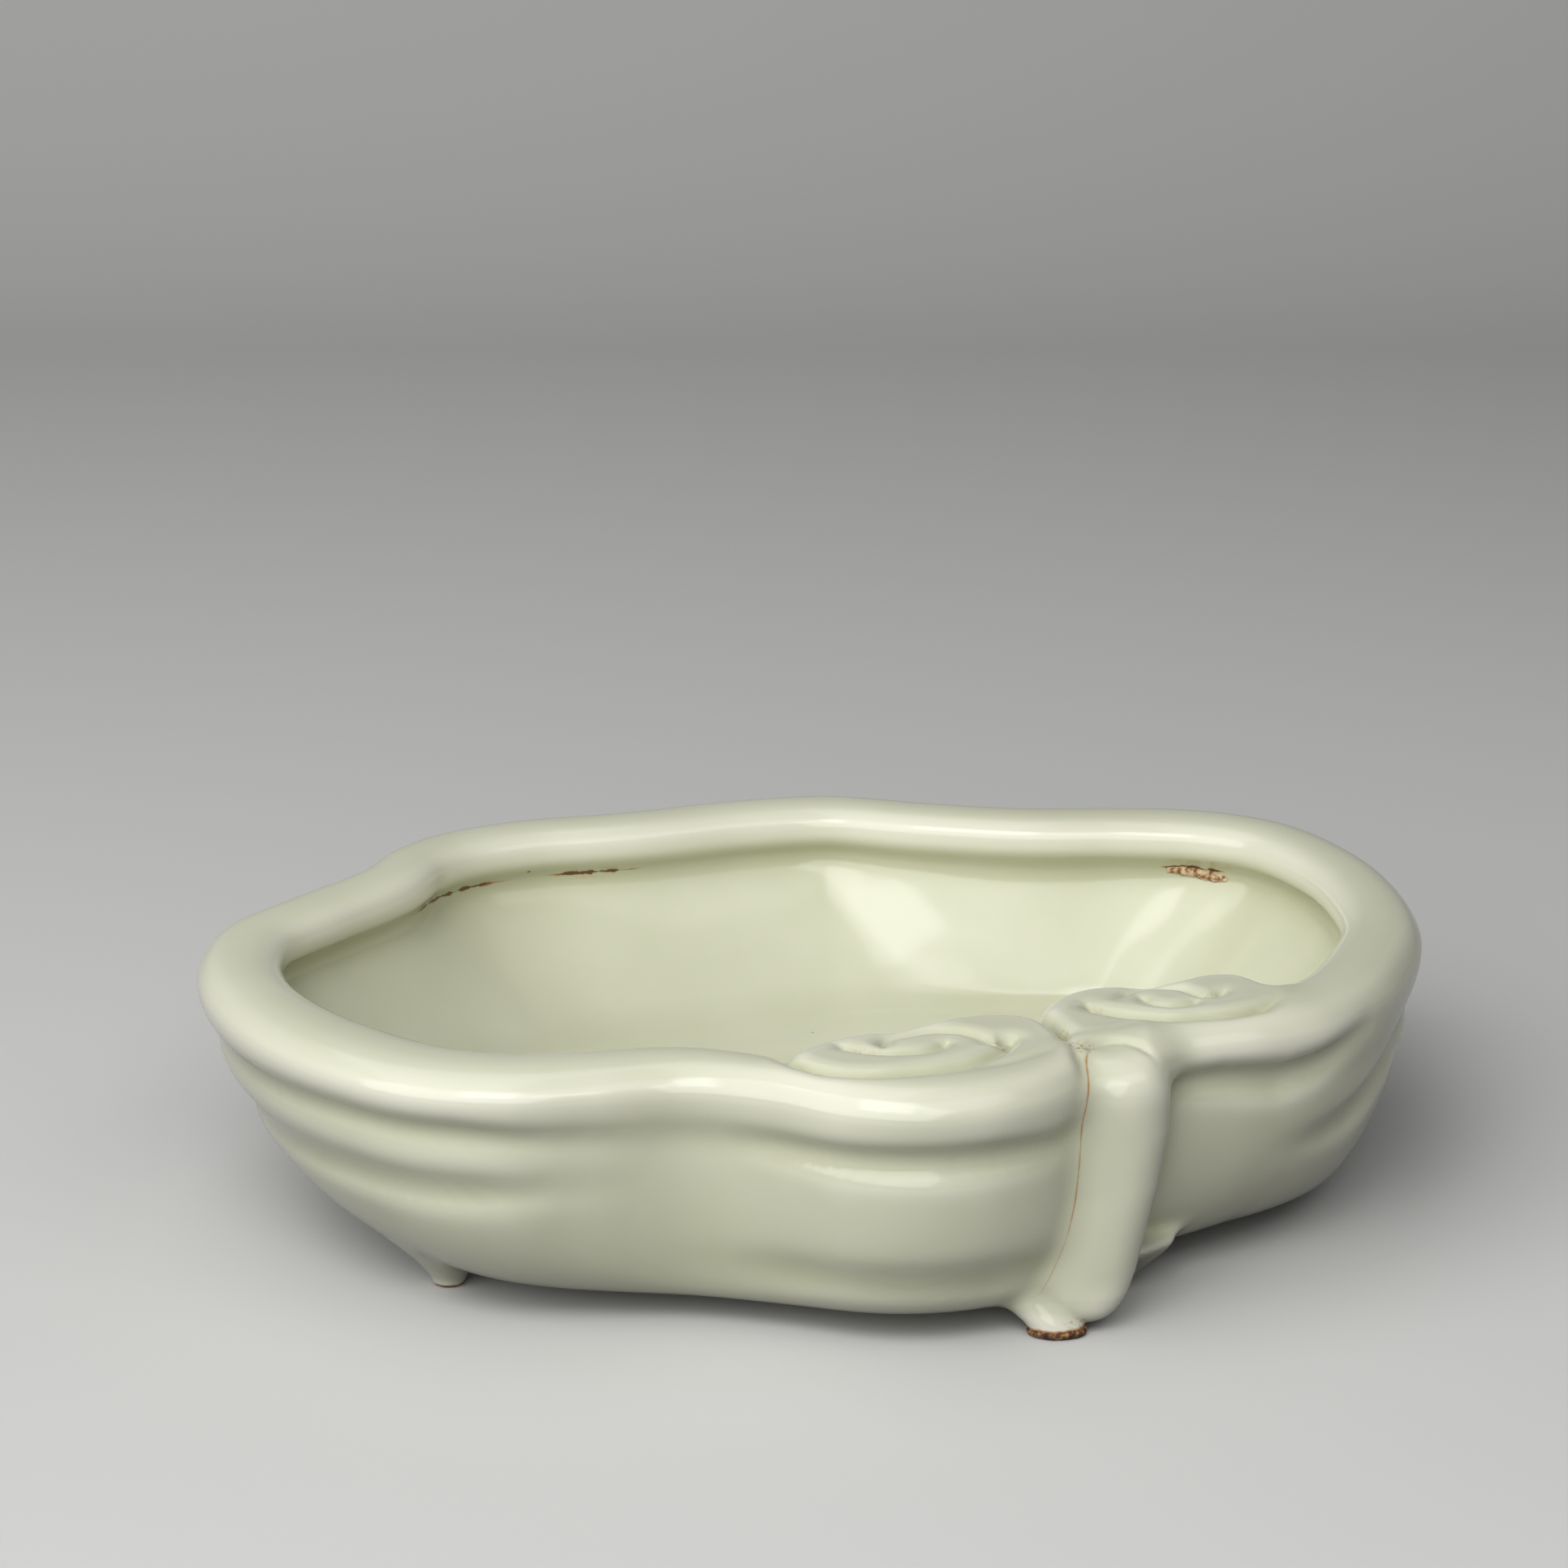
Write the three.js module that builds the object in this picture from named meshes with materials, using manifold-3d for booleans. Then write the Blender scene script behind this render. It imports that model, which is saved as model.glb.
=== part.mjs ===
// A celadon brush washer in the form of a fungus cap: a lobed bowl with a rolled lip whose two ends
// curl into scrolls at a cleft, a stalk in the cleft, and four short feet. Millimetres, +Z up.
// +X runs along the washer's length, and the cleft faces -Y. Each piece is one that the potter made
// by itself and joined with slip before the glaze went on.
import * as THREE from "three";
import { mergeVertices } from "three/addons/utils/BufferGeometryUtils.js";
import Module from "manifold-3d";

const wasm = await Module();
wasm.setup();

// Driving dimensions
const lineLength = 268; // the lip's widest line, end to end along the washer
const lineWidth = 207.5; // the same line, front to back
const joint = 0.3; // slip joint left between two pieces
const rimHeight = 60.7; // top of the lip above the table
const proud = 1.3; // the lip's glazed outside stands out from its line by this
const rollBelly = 54; // where the lip is widest
const rollPower = 2.25; // how square the lip's rounded section is
const innerLow = 49; // underside of the lip where it overhangs the bowl
const seat = 46; // where the lip sits on the wall, in the first hollow
const shoulderDrop = 2.5; // the lip turns under this far below its widest place, outside
const lowTurn = 3; // and its outer side bends once more this far above its seat
const innerTurn = 3; // the same inside: this far below its widest place
const wallTop = 52; // the wall's curve starts here, inside the lip
const wallThickness = 8.5; // at the top; the wall inside leans in from there down to the floor
const baseHeight = 5.5; // underside of the bowl above the table
const floorThickness = 10;
const innerLean = [1.8, 1.3]; // how the wall inside curves on its way down, at the front and at the back
const hollowSpread = [3.4, 3.8, 4.4]; // how tall the three hollows between growth rings are
const lowHollow = 16; // height of the lowest hollow
const padSeat = 50; // underside of the scrolls
const padEdge = 4.6; // radius of a scroll's rounded edge
const creaseWidth = 4.6; // how wide the rounded sides of a scroll's creases are
const stalkTop = 58.4;
const stalkStart = 2.4; // the rounded lower end of the stalk, above the table
const stalkSplit = 8; // the stalk above, its foot below

// How finely the forms are cut into faces
const stations = 80;
const padStations = 52;
const padRings = 11;
const columnSides = 24;

// The lip's widest line seen from above, anticlockwise from the cleft: x, y, and the lip's width there.
const lipLine = [
  [58.5, -75, 11.5], [62.5, -74, 13.5], [68, -72.5, 15.5], [75, -69.5, 16.5], [84, -66, 17], [94, -61.5, 17],
  [107, -53, 18], [120, -35.5, 18], [128.5, -14, 17.5], [133.5, 7, 17], [133, 31, 17], [127, 56, 17],
  [113, 80, 17.5], [94, 91, 18], [72, 93.5, 17.5], [50, 93, 17], [28, 97, 17], [4, 103, 17], [-20, 99, 17],
  [-46, 89.5, 17], [-72, 82.5, 17], [-90, 72, 17], [-100, 59, 16.5], [-106, 44, 17], [-119, 26, 17.5],
  [-132, 6, 18], [-134.5, -14, 18], [-130, -37, 18.5], [-119, -60, 20.5], [-103, -79, 22], [-85, -92, 22.5],
  [-65, -96.5, 21.5], [-46, -93.5, 20], [-28, -89.5, 17.5], [-10, -94, 14.5], [5, -102, 15],
  [20, -104.5, 17], [33, -102, 17], [43, -96.5, 15], [49.3, -91, 14], [53.4, -85.5, 12.5], [55.6, -79.5, 11],
];

// The rounded edge of the bowl's underside, seen from above.
const baseLine = [
  [52, -62], [81, -39.5], [105, -18], [105, 28], [84, 60], [60, 72], [20, 74], [-48, 62], [-80, 34],
  [-91, -5], [-85, -42], [-62, -69], [-24, -78], [14, -85], [38, -80.5], [49, -72.5],
];

// Where the floor inside ends and the wall begins, seen from above.
const floorLine = [
  [64, -40], [84, -24], [94, -6], [97, 12], [96, 27], [84, 54], [68, 68.5], [40, 70], [12, 65.5],
  [-18, 57], [-52, 42], [-70, 22], [-76, -4], [-68, -31], [-48, -51], [-22, -59], [8, -60], [36, -52],
];

// Bearing in degrees; how low the lip's outer side runs; how far in the wall starts, its fullness;
// height and depth of the first hollow between growth rings, the same for the second, the third's depth.
const growth = [
  [-180, 43, 1.6, 1.75, 45.8, 2.8, 31.5, 2.6, 0],
  [-140, 44, 1.6, 1.9, 47.2, 2.2, 33.2, 2.5, 0],
  [-128, 44, 1.5, 2.1, 47, 2.2, 33.4, 2.1, 0],
  [-120, 44, 1.4, 2.3, 46, 0.9, 34, 0.5, 0],
  [-112, 43, 1.2, 2.6, 45.5, 0.4, 34, 0, 0],
  [-92, 43, 0.7, 2.7, 44.2, 2.1, 34, 0, 1.4],
  [-70, 43, 0.5, 2.7, 44.4, 3, 34, 0, 2.2],
  [-55, 44, 0.8, 2.7, 46, 0, 34, 0, 0],
  [-38, 48, 1.3, 2.3, 48.3, 2.6, 30, 0, 0],
  [-27, 46, 0.9, 2, 47, 3.2, 29, 0.5, 0],
  [-18, 44, 0.6, 2, 52, 0.3, 30.5, 3.2, 0],
  [-7, 42, 0.5, 2, 33, 0, 39.5, 4, 0],
  [10, 43, 0.9, 2, 30, 1.6, 45.5, 3, 0],
  [40, 44, 1.4, 1.8, 32, 2, 45.5, 2.6, 0],
  [96, 44, 1.6, 1.8, 33, 0, 45, 0.3, 0],
  [104, 44, 1.6, 1.8, 45, 0.3, 33, 0, 0],
  [130, 44, 1.6, 1.7, 45.5, 2, 33, 1.6, 0],
  [180, 43, 1.6, 1.75, 45.8, 2.8, 31.5, 2.6, 0],
];

// Scrolls: each one's outline, and the creases pressed into its top: depth, then points.
const leftScroll = {
  outline: [
    [-7.5, -84.5], [-2, -90], [9, -95], [20, -95.5], [30, -92], [39, -88], [46, -82.5], [50.6, -76],
    [51.6, -71], [50.4, -65.5], [48, -60], [44.5, -56.2], [34, -54.8], [20.1, -61.5], [7.1, -67.2], [-3.6, -75.3],
  ],
  creases: [
    [2.9, [-8.5, -81], [-4.5, -86.2], [1.8, -91], [13.1, -92.2], [23.7, -89.2], [32.3, -84], [39.6, -71.5]],
    [2.3, [37, -74], [34, -71], [27.8, -66.9], [17.9, -68.8], [13, -74.5], [13, -77.5]],
    [2.0, [3.4, -75.5], [10.4, -79.3], [17.6, -79.7], [24, -77.2], [26.3, -72.8]],
  ],
};
const rightScroll = {
  outline: [
    [53, -70], [60, -68.5], [70, -64], [80, -60.5], [89, -56.5], [96, -51], [101, -44], [103, -36], [101, -33.5],
    [93.5, -32], [86.7, -28.8], [76.7, -33.1], [66, -37.9], [55.5, -39.5], [47.5, -49], [45.8, -55.5], [49.6, -66],
  ],
  creases: [
    [2.8, [56.1, -49.5], [59.7, -54.2], [70.1, -58.3], [79.9, -57.7], [90, -54.2], [97, -47.5]],
    [2.5, [86.5, -41], [83.9, -44.7], [79.2, -42], [75.2, -38.7], [67.2, -39.5], [62.7, -47.4]],
    [1.6, [67.5, -45.5], [72.3, -50.9], [78.3, -49.9], [80.8, -47]],
  ],
};

// The stalk, and the neck that stands on the table under it: height, centre x and y, half widths.
const stalkRows = [
  [0, 53.6, -83.2, 5.6, 4.6], [4, 53.8, -81.6, 8, 6.8], [8, 53.7, -79.6, 10.6, 9], [12, 53.8, -78.2, 12, 9.9],
  [20, 55.8, -76.8, 12, 10.6], [30, 58.4, -75.8, 11.9, 10.8], [42, 59.6, -75.2, 12.6, 10.8],
  [52, 59.9, -75.2, 12.6, 10.6], [64, 59.9, -75.2, 12, 9.6],
];
const neckRows = [
  [0, 49.1, -86.2, 6.1, 4.3], [2, 48.8, -85.9, 5.9, 4.4], [4, 47.4, -84.6, 6.4, 5.2], [6.5, 46.2, -82.4, 6.8, 6.2],
  [10, 46, -79.5, 6.6, 6.8], [14, 48, -77, 6, 6],
];

// The other feet: centre x and y, radius of the sole, how much it flares; the flare is height and growth.
const feet = {
  left_foot: [-78.4, -59, 3.5, 0.75],
  right_foot: [61, -60, 4.2, 1],
  back_foot: [-12, 60, 4.6, 0.75],
};
const footFlare = [[0, 0], [1.5, 0.3], [4, 2.7], [8, 7], [12, 10.5]];

// Puts a table's points in place in plan: they were read off at a length of 268 and a width of 207.5.
const drawn = new THREE.Box2().setFromPoints(lipLine.map(([x, y]) => new THREE.Vector2(x, y)));
const span = drawn.getSize(new THREE.Vector2());
function place([x, y, ...rest]) {
  return [(x * lineLength) / span.x, (y * lineWidth) / span.y, ...rest];
}

function placeRows(rows) {
  return rows.map(([z, ...rest]) => [z, ...place(rest)]);
}

// One column of a table, read between its rows; the first number of each row is where it stands.
function readBetween(rows, at, column) {
  const next = rows.findIndex((row) => row[0] >= at);
  if (next === 0) return rows[0][column];
  if (next < 0) return rows[rows.length - 1][column];
  const [a, b] = [rows[next - 1], rows[next]];
  const share = (at - a[0]) / (b[0] - a[0]);
  return a[column] + (b[column] - a[column]) * share;
}

function curve(points, closed) {
  return new THREE.CatmullRomCurve3(
    points.map(([x, y, z = 0]) => new THREE.Vector3(x, y, z)),
    closed,
    "centripetal",
  );
}

// A line's radius at each bearing from the middle, so that wall rings line up under the lip.
function radiusTable(line) {
  return curve(line.map(place), true)
    .getPoints(400)
    .map((p) => [Math.atan2(p.y, p.x), Math.hypot(p.x, p.y)])
    .sort((a, b) => a[0] - b[0]);
}
const baseTable = radiusTable(baseLine);
const floorTable = radiusTable(floorLine);

// One station of the lip: its place, the direction outwards, its width, and the base and floor edge under it.
// The third number of the lip line is its width, which the curve carries as z.
const lipCurve = curve(lipLine.map(place), true);
const lipStations = Array.from({ length: stations }, (_, i) => {
  const at = lipCurve.getPointAt(i / stations);
  const along = lipCurve.getTangentAt(i / stations);
  const bearing = Math.atan2(at.y, at.x);
  const ray = new THREE.Vector2(Math.cos(bearing), Math.sin(bearing));
  const atBack = Math.min(1, Math.max(0, 2 * Math.sin(bearing)));
  const degrees = THREE.MathUtils.radToDeg(bearing);
  const [low, inset, power, high1, deep1, high2, deep2, deep3] = growth[0]
    .slice(1)
    .map((_, k) => readBetween(growth, degrees, k + 1));
  return {
    at: new THREE.Vector2(at.x, at.y),
    out: new THREE.Vector2(along.y, -along.x).normalize(),
    width: at.z,
    base: ray.clone().multiplyScalar(readBetween(baseTable, bearing, 1)),
    floor: ray.clone().multiplyScalar(readBetween(floorTable, bearing, 1)),
    lean: innerLean[0] + (innerLean[1] - innerLean[0]) * atBack,
    low,
    inset,
    power,
    hollows: [[high1, deep1], [high2, deep2], [lowHollow, deep3]],
  };
});

// How deep the hollows between the growth rings are at a height.
function hollowDepth(s, z) {
  return s.hollows.reduce((sum, [high, deep], k) => sum + deep * Math.exp(-(((z - high) / hollowSpread[k]) ** 2)), 0);
}

// Joins closed rings of equal length into a skin; first and last ring are closed with a fan.
function skin(rings, loop = false) {
  const n = rings[0].length;
  const vertices = [];
  const faces = [];
  rings.forEach((ring) => ring.forEach((p) => vertices.push(p.x, p.y, p.z)));
  const rows = loop ? rings.length : rings.length - 1;
  for (let j = 0; j < rows; j++) {
    const upper = j * n;
    const lower = ((j + 1) % rings.length) * n;
    for (let i = 0; i < n; i++) {
      const k = (i + 1) % n;
      faces.push(upper + i, lower + i, lower + k, upper + i, lower + k, upper + k);
    }
  }
  const fan = (ring, base, turned) => {
    const centre = ring.reduce((s, p) => s.add(p), new THREE.Vector3()).divideScalar(n);
    const c = vertices.length / 3;
    vertices.push(centre.x, centre.y, centre.z);
    for (let i = 0; i < n; i++) {
      const k = (i + 1) % n;
      faces.push(...(turned ? [c, base + i, base + k] : [c, base + k, base + i]));
    }
  };
  if (!loop) {
    fan(rings[0], 0, true);
    fan(rings[rings.length - 1], (rings.length - 1) * n, false);
  }
  const geometry = new THREE.BufferGeometry();
  geometry.setAttribute("position", new THREE.Float32BufferAttribute(vertices, 3));
  geometry.setIndex(faces);
  return geometry;
}

function solidFrom(geometry) {
  const g = geometry.clone();
  g.deleteAttribute("normal");
  g.deleteAttribute("uv");
  const merged = mergeVertices(g, 1e-4);
  const made = new wasm.Manifold(
    new wasm.Mesh({
      numProp: 3,
      vertProperties: merged.attributes.position.array,
      triVerts: new Uint32Array(merged.index.array),
    }),
  );
  if (made.volume() > 0) return made;
  const turned = new Uint32Array(merged.index.array);
  for (let i = 0; i < turned.length; i += 3) {
    [turned[i + 1], turned[i + 2]] = [turned[i + 2], turned[i + 1]];
  }
  return new wasm.Manifold(
    new wasm.Mesh({ numProp: 3, vertProperties: merged.attributes.position.array, triVerts: turned }),
  );
}

function geometryFrom(solid) {
  const mesh = solid.getMesh();
  const geometry = new THREE.BufferGeometry();
  geometry.setAttribute("position", new THREE.Float32BufferAttribute(mesh.vertProperties, 3));
  geometry.setIndex(new THREE.BufferAttribute(mesh.triVerts, 1));
  geometry.computeVertexNormals();
  return geometry;
}

// The turn at which the wall's outer curve passes a height: 0 is level with its top, 1 is the underside.
function turnAt(z, power) {
  return (Math.asin(((wallTop - z) / (wallTop - baseHeight)) ** (power / 2)) * 2) / Math.PI;
}

// A point of the wall's outer side, a quarter oval that the growth rings' hollows are pressed into.
function outerPoint(s, turn, grow) {
  const angle = (turn * Math.PI) / 2;
  const out = Math.cos(angle) ** (2 / s.power);
  const down = Math.sin(angle) ** (2 / s.power);
  const z = wallTop - (wallTop - baseHeight) * down;
  const edge = s.at.clone().addScaledVector(s.out, -s.inset);
  const p = s.base.clone().lerp(edge, out);
  p.addScaledVector(s.out, grow - hollowDepth(s, z) * out);
  return new THREE.Vector3(p.x, p.y, z - grow * down);
}

// A point of the wall's inner side, which leans in all the way down to the floor.
function innerPoint(s, z) {
  const down = (wallTop - z) / (wallTop - baseHeight - floorThickness);
  const edge = s.at.clone().addScaledVector(s.out, -s.inset - wallThickness);
  const p = edge.lerp(s.floor, down ** s.lean);
  return new THREE.Vector3(p.x, p.y, z);
}

function shrink(ring, share, z) {
  return ring.map((p) => new THREE.Vector3(p.x * share, p.y * share, z));
}

function bowlOutside(grow) {
  const steps = [0, 0.04, 0.08, 0.12, 0.16, 0.2, 0.24, 0.28, 0.32, 0.37, 0.43, 0.5, 0.58, 0.66, 0.75, 0.84, 0.93, 1];
  const rings = steps.map((step) =>
    lipStations.map((s) => {
      const from = turnAt(seat - joint + grow, s.power);
      return outerPoint(s, from + (1 - from) * step, grow);
    }),
  );
  rings.push(shrink(rings[rings.length - 1], 0.5, baseHeight - grow));
  return rings;
}

function bowl() {
  const floor = baseHeight + floorThickness;
  const heights = [seat - joint, 40, 34, 28, 23, floor + 3];
  const rings = heights.map((z) => lipStations.map((s) => innerPoint(s, z)));
  const edge = lipStations.map((s) => innerPoint(s, floor));
  rings.push(shrink(edge, 0.95, floor), shrink(edge, 0.5, floor));
  return solidFrom(skin([...rings.reverse(), ...bowlOutside(0)]));
}

// How far in from the widest line the washer's outer side is at a height between seat and belly.
function outerInset(s, z) {
  const share = Math.min(1, (rollBelly - z) / (rollBelly - s.low));
  const roll = (s.width / 2) * (1 - (1 - share ** rollPower) ** (1 / rollPower));
  const rounded = (proud * (z - seat)) / (rollBelly - seat);
  return Math.min(roll, s.inset + 0.3) + hollowDepth(s, z) - rounded;
}

// A point of the lip's rounded section: turn -1 is its outer belly, 0 its top, 1 its inner belly.
function lipPoint(s, turn, grow) {
  const angle = (turn * Math.PI) / 2;
  const across = Math.sign(angle) * Math.abs(Math.sin(angle)) ** (2 / rollPower);
  const up = Math.max(0, Math.cos(angle)) ** (2 / rollPower);
  const inward = (s.width / 2) * (1 + across) + grow * across - proud * Math.max(0, -across);
  const z = rollBelly + (rimHeight - rollBelly) * up;
  const p = s.at.clone().addScaledVector(s.out, -inward);
  return new THREE.Vector3(p.x, p.y, z);
}

function lip(grow = 0) {
  const level = (inward, z) =>
    lipStations.map((s) => {
      const p = s.at.clone().addScaledVector(s.out, -inward(s));
      return new THREE.Vector3(p.x, p.y, z);
    });
  const wallInside = (s) => s.inset + wallThickness + 0.4 + grow;
  const rings = [
    level((s) => outerInset(s, seat) - grow, seat - grow),
    level((s) => outerInset(s, seat + lowTurn) - grow, seat + lowTurn),
    level((s) => outerInset(s, rollBelly - shoulderDrop) - grow, rollBelly - shoulderDrop),
    ...[-1, -0.82, -0.6, -0.35, 0, 0.35, 0.6, 0.82, 1].map((turn) => lipStations.map((s) => lipPoint(s, turn, grow))),
    level((s) => s.width * 0.96 + grow, rollBelly - innerTurn),
    level((s) => Math.max(wallInside(s), s.width * 0.82), innerLow - grow),
    level(wallInside, seat - grow),
  ];
  return solidFrom(skin(rings, true));
}

// How far the creases press a scroll's top down at a place seen from above.
function creaseDepth(creases, x, y) {
  return creases.reduce((most, { depth, line }) => {
    const near = Math.min(...line.map((c) => Math.hypot(x - c.x, y - c.y)));
    const share = Math.max(0, 1 - near / creaseWidth);
    return Math.max(most, depth * Math.sin((share * Math.PI) / 2) ** 2);
  }, 0);
}

function scroll({ outline, creases }) {
  const edge = curve(outline.map(place), true).getSpacedPoints(padStations).slice(0, padStations);
  const lines = creases.map(([depth, ...points]) => ({ depth, line: curve(points.map(place), false).getPoints(60) }));
  const middle = edge.reduce((s, p) => s.add(p), new THREE.Vector3()).divideScalar(padStations);
  const inwards = edge.map((p, i) => {
    const along = edge[(i + 1) % padStations].clone().sub(edge[(i + padStations - 1) % padStations]);
    return new THREE.Vector3(-along.y, along.x, 0).normalize();
  });
  const moved = (distance, z) => edge.map((p, i) => p.clone().addScaledVector(inwards[i], distance).setZ(z));
  const rimOfTop = moved(padEdge * 0.6, rimHeight);
  const top = (share) =>
    rimOfTop.map((p) => {
      const q = middle.clone().lerp(p, share);
      return q.setZ(rimHeight - 0.4 - creaseDepth(lines, q.x, q.y));
    });
  const rings = [];
  for (let j = 1; j <= padRings; j++) rings.push(top(j / padRings));
  rings.push(moved(padEdge * 0.28, rimHeight - 1.6));
  rings.push(moved(0, rimHeight - padEdge));
  rings.push(moved(0, padSeat + 2.5));
  rings.push(moved(padEdge * 0.5, padSeat));
  return solidFrom(skin(rings));
}

// An upright column whose oval section changes with height; its ends are drawn in by a share.
function column(rows, heights, drawnIn) {
  const rings = heights.map((z, j) => {
    const [x, y, wide, deep] = [1, 2, 3, 4].map((k) => readBetween(rows, z, k));
    return Array.from({ length: columnSides }, (_, i) => {
      const a = (2 * Math.PI * i) / columnSides;
      const c = Math.sign(Math.cos(a)) * Math.abs(Math.cos(a)) ** 0.86;
      const s = Math.sign(Math.sin(a)) * Math.abs(Math.sin(a)) ** 0.86;
      return new THREE.Vector3(x + wide * drawnIn[j] * c, y + deep * drawnIn[j] * s, z);
    });
  });
  return solidFrom(skin(rings));
}

function wholeStalk() {
  const below = [0, 0.8, 2.6].map((up) => stalkStart + up);
  const above = [11.4, 6.9, 3.9, 1.8, 0.6, 0].map((down) => stalkTop - down);
  const heights = [...below, 8, 12, 20, 30, 40, ...above];
  const drawnIn = [0.6, 0.8, 0.95, 1, 1, 1, 1, 1, 0.995, 0.96, 0.87, 0.73, 0.55, 0.3];
  const neckHeights = [0, 1, 2, 4, 6.5, 8, 10, 12];
  const neck = column(placeRows(neckRows), neckHeights, neckHeights.map(() => 1));
  return column(placeRows(stalkRows), heights, drawnIn).add(neck);
}

function foot(sizes) {
  const [x, y, toe, wider] = place(sizes);
  const sides = 24;
  const rings = [0, 1.5, 2.8, 4, 6, 8, 10, 12].map((z) => {
    const radius = toe + wider * readBetween(footFlare, z, 1);
    return Array.from({ length: sides }, (_, i) => {
      const a = (2 * Math.PI * i) / sides;
      return new THREE.Vector3(x + radius * Math.cos(a), y + radius * Math.sin(a), z);
    });
  });
  return solidFrom(skin(rings));
}

const washer = new THREE.Group();
function add(name, solid) {
  const glaze = new THREE.MeshStandardMaterial({ color: 0xc9ccb8, roughness: 0.16, metalness: 0 });
  const mesh = new THREE.Mesh(geometryFrom(solid), glaze);
  mesh.name = name;
  washer.add(mesh);
}

function largest(solid) {
  return solid.decompose().sort((a, b) => b.volume() - a.volume())[0];
}

const bowlSolid = bowl();
const lipSolid = lip();
const grownBowl = solidFrom(skin(bowlOutside(joint)));
const grownLip = lip(joint);
add("bowl", bowlSolid);
add("rolled_lip", lipSolid);

// The scrolls meet at the cleft: the right one gives way there, and both give way to the lip.
const leftSolid = largest(scroll(leftScroll).subtract(grownLip));
const leftMoved = scroll(leftScroll).translate([joint, -joint, 0]).add(scroll(leftScroll));
const rightSolid = largest(scroll(rightScroll).subtract(grownLip).subtract(leftMoved));
add("left_scroll", leftSolid);
add("right_scroll", rightSolid);

// The stalk gives way to everything above its foot.
const both = wholeStalk().subtract(grownBowl).subtract(grownLip);
const clear = scroll(rightScroll).translate([0, -joint, 0]).add(leftMoved);
const stalkSolid = largest(both.trimByPlane([0, 0, 1], stalkSplit + joint / 2).subtract(clear));
const footSolid = largest(both.trimByPlane([0, 0, -1], -(stalkSplit - joint / 2)));
add("stalk", stalkSolid);
add("stalk_foot", footSolid);
const grownColumn = column(
  placeRows(stalkRows).map(([z, x, y, wide, deep]) => [z, x, y, wide + joint, deep + joint]),
  [0, stalkStart, stalkStart + 0.8, stalkStart + 2.6, 8, 12, 20, 30],
  [1, 1, 1, 1, 1, 1, 1, 1],
);
for (const [name, sizes] of Object.entries(feet)) {
  add(name, largest(foot(sizes).subtract(grownBowl).subtract(grownColumn)));
}

// The origin is under the middle of the whole washer, on the table.
const box = new THREE.Box3().setFromObject(washer);
const middle = box.getCenter(new THREE.Vector3());
for (const mesh of washer.children) mesh.geometry.translate(-middle.x, -middle.y, -box.min.z);
console.log(`washer centred by ${middle.x.toFixed(2)}, ${middle.y.toFixed(2)}, ${box.min.z.toFixed(2)} mm`);
for (const mesh of washer.children) console.log(mesh.name, mesh.geometry.index.count / 3, "triangles");

export default washer;
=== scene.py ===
# %% [markdown]
# # A celadon brush washer
# The washer is a low bowl in the form of a fungus cap. A potter built it from a few lumps of clay,
# smoothed the joints away with slip, and dipped the whole in a thick, glossy, grey-green glaze.
# This lesson models it as the potter did: each lump is a formula for the distance to its surface,
# and a smooth minimum of these distances is the slip that blends one lump into the next.

# %% Set up
import math

import bpy
import numpy as np
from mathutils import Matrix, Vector


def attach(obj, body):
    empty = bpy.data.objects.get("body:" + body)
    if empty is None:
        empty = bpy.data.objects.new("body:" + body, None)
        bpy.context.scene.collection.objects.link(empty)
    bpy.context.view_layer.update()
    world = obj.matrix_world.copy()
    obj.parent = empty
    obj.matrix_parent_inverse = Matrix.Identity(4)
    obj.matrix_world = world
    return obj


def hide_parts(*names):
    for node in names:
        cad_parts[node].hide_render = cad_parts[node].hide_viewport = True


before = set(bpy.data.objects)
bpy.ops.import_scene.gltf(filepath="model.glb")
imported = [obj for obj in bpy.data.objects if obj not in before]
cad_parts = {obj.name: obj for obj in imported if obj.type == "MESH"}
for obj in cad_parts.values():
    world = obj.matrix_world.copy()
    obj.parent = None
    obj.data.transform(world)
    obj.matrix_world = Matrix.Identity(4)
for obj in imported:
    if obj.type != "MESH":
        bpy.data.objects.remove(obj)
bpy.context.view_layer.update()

MM = 0.001
STEP = 0.8            # spacing of the sampling grid, mm
BOWL_STEP = 1.35
STALK_STEP = 0.8 * STEP
SCROLL_STEP = 0.7 * STEP

# %% [markdown]
# ## Sizes
# Everything is in millimetres until the meshes are made. The lip line is the washer's widest line:
# the outer edge of the rolled lip, seen from above. The third number is how wide the roll is there.
# The base line is the edge of the flat underside, and the floor line the edge of the floor inside.
# Each is a few points, read off the photograph or guessed where it is hidden, and a smooth curve.

# %% Sizes and outlines
CENTRE_SHIFT = (-0.32, -0.66)   # the middle of the outlines, which is moved to the origin
RIM = 60.0                      # height of the top of the lip
BASE = 5.5                      # height of the bowl's underside
WALL = 8.5                      # thickness of the wall under the lip
FLOOR = 10.0                    # thickness of the floor

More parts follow.
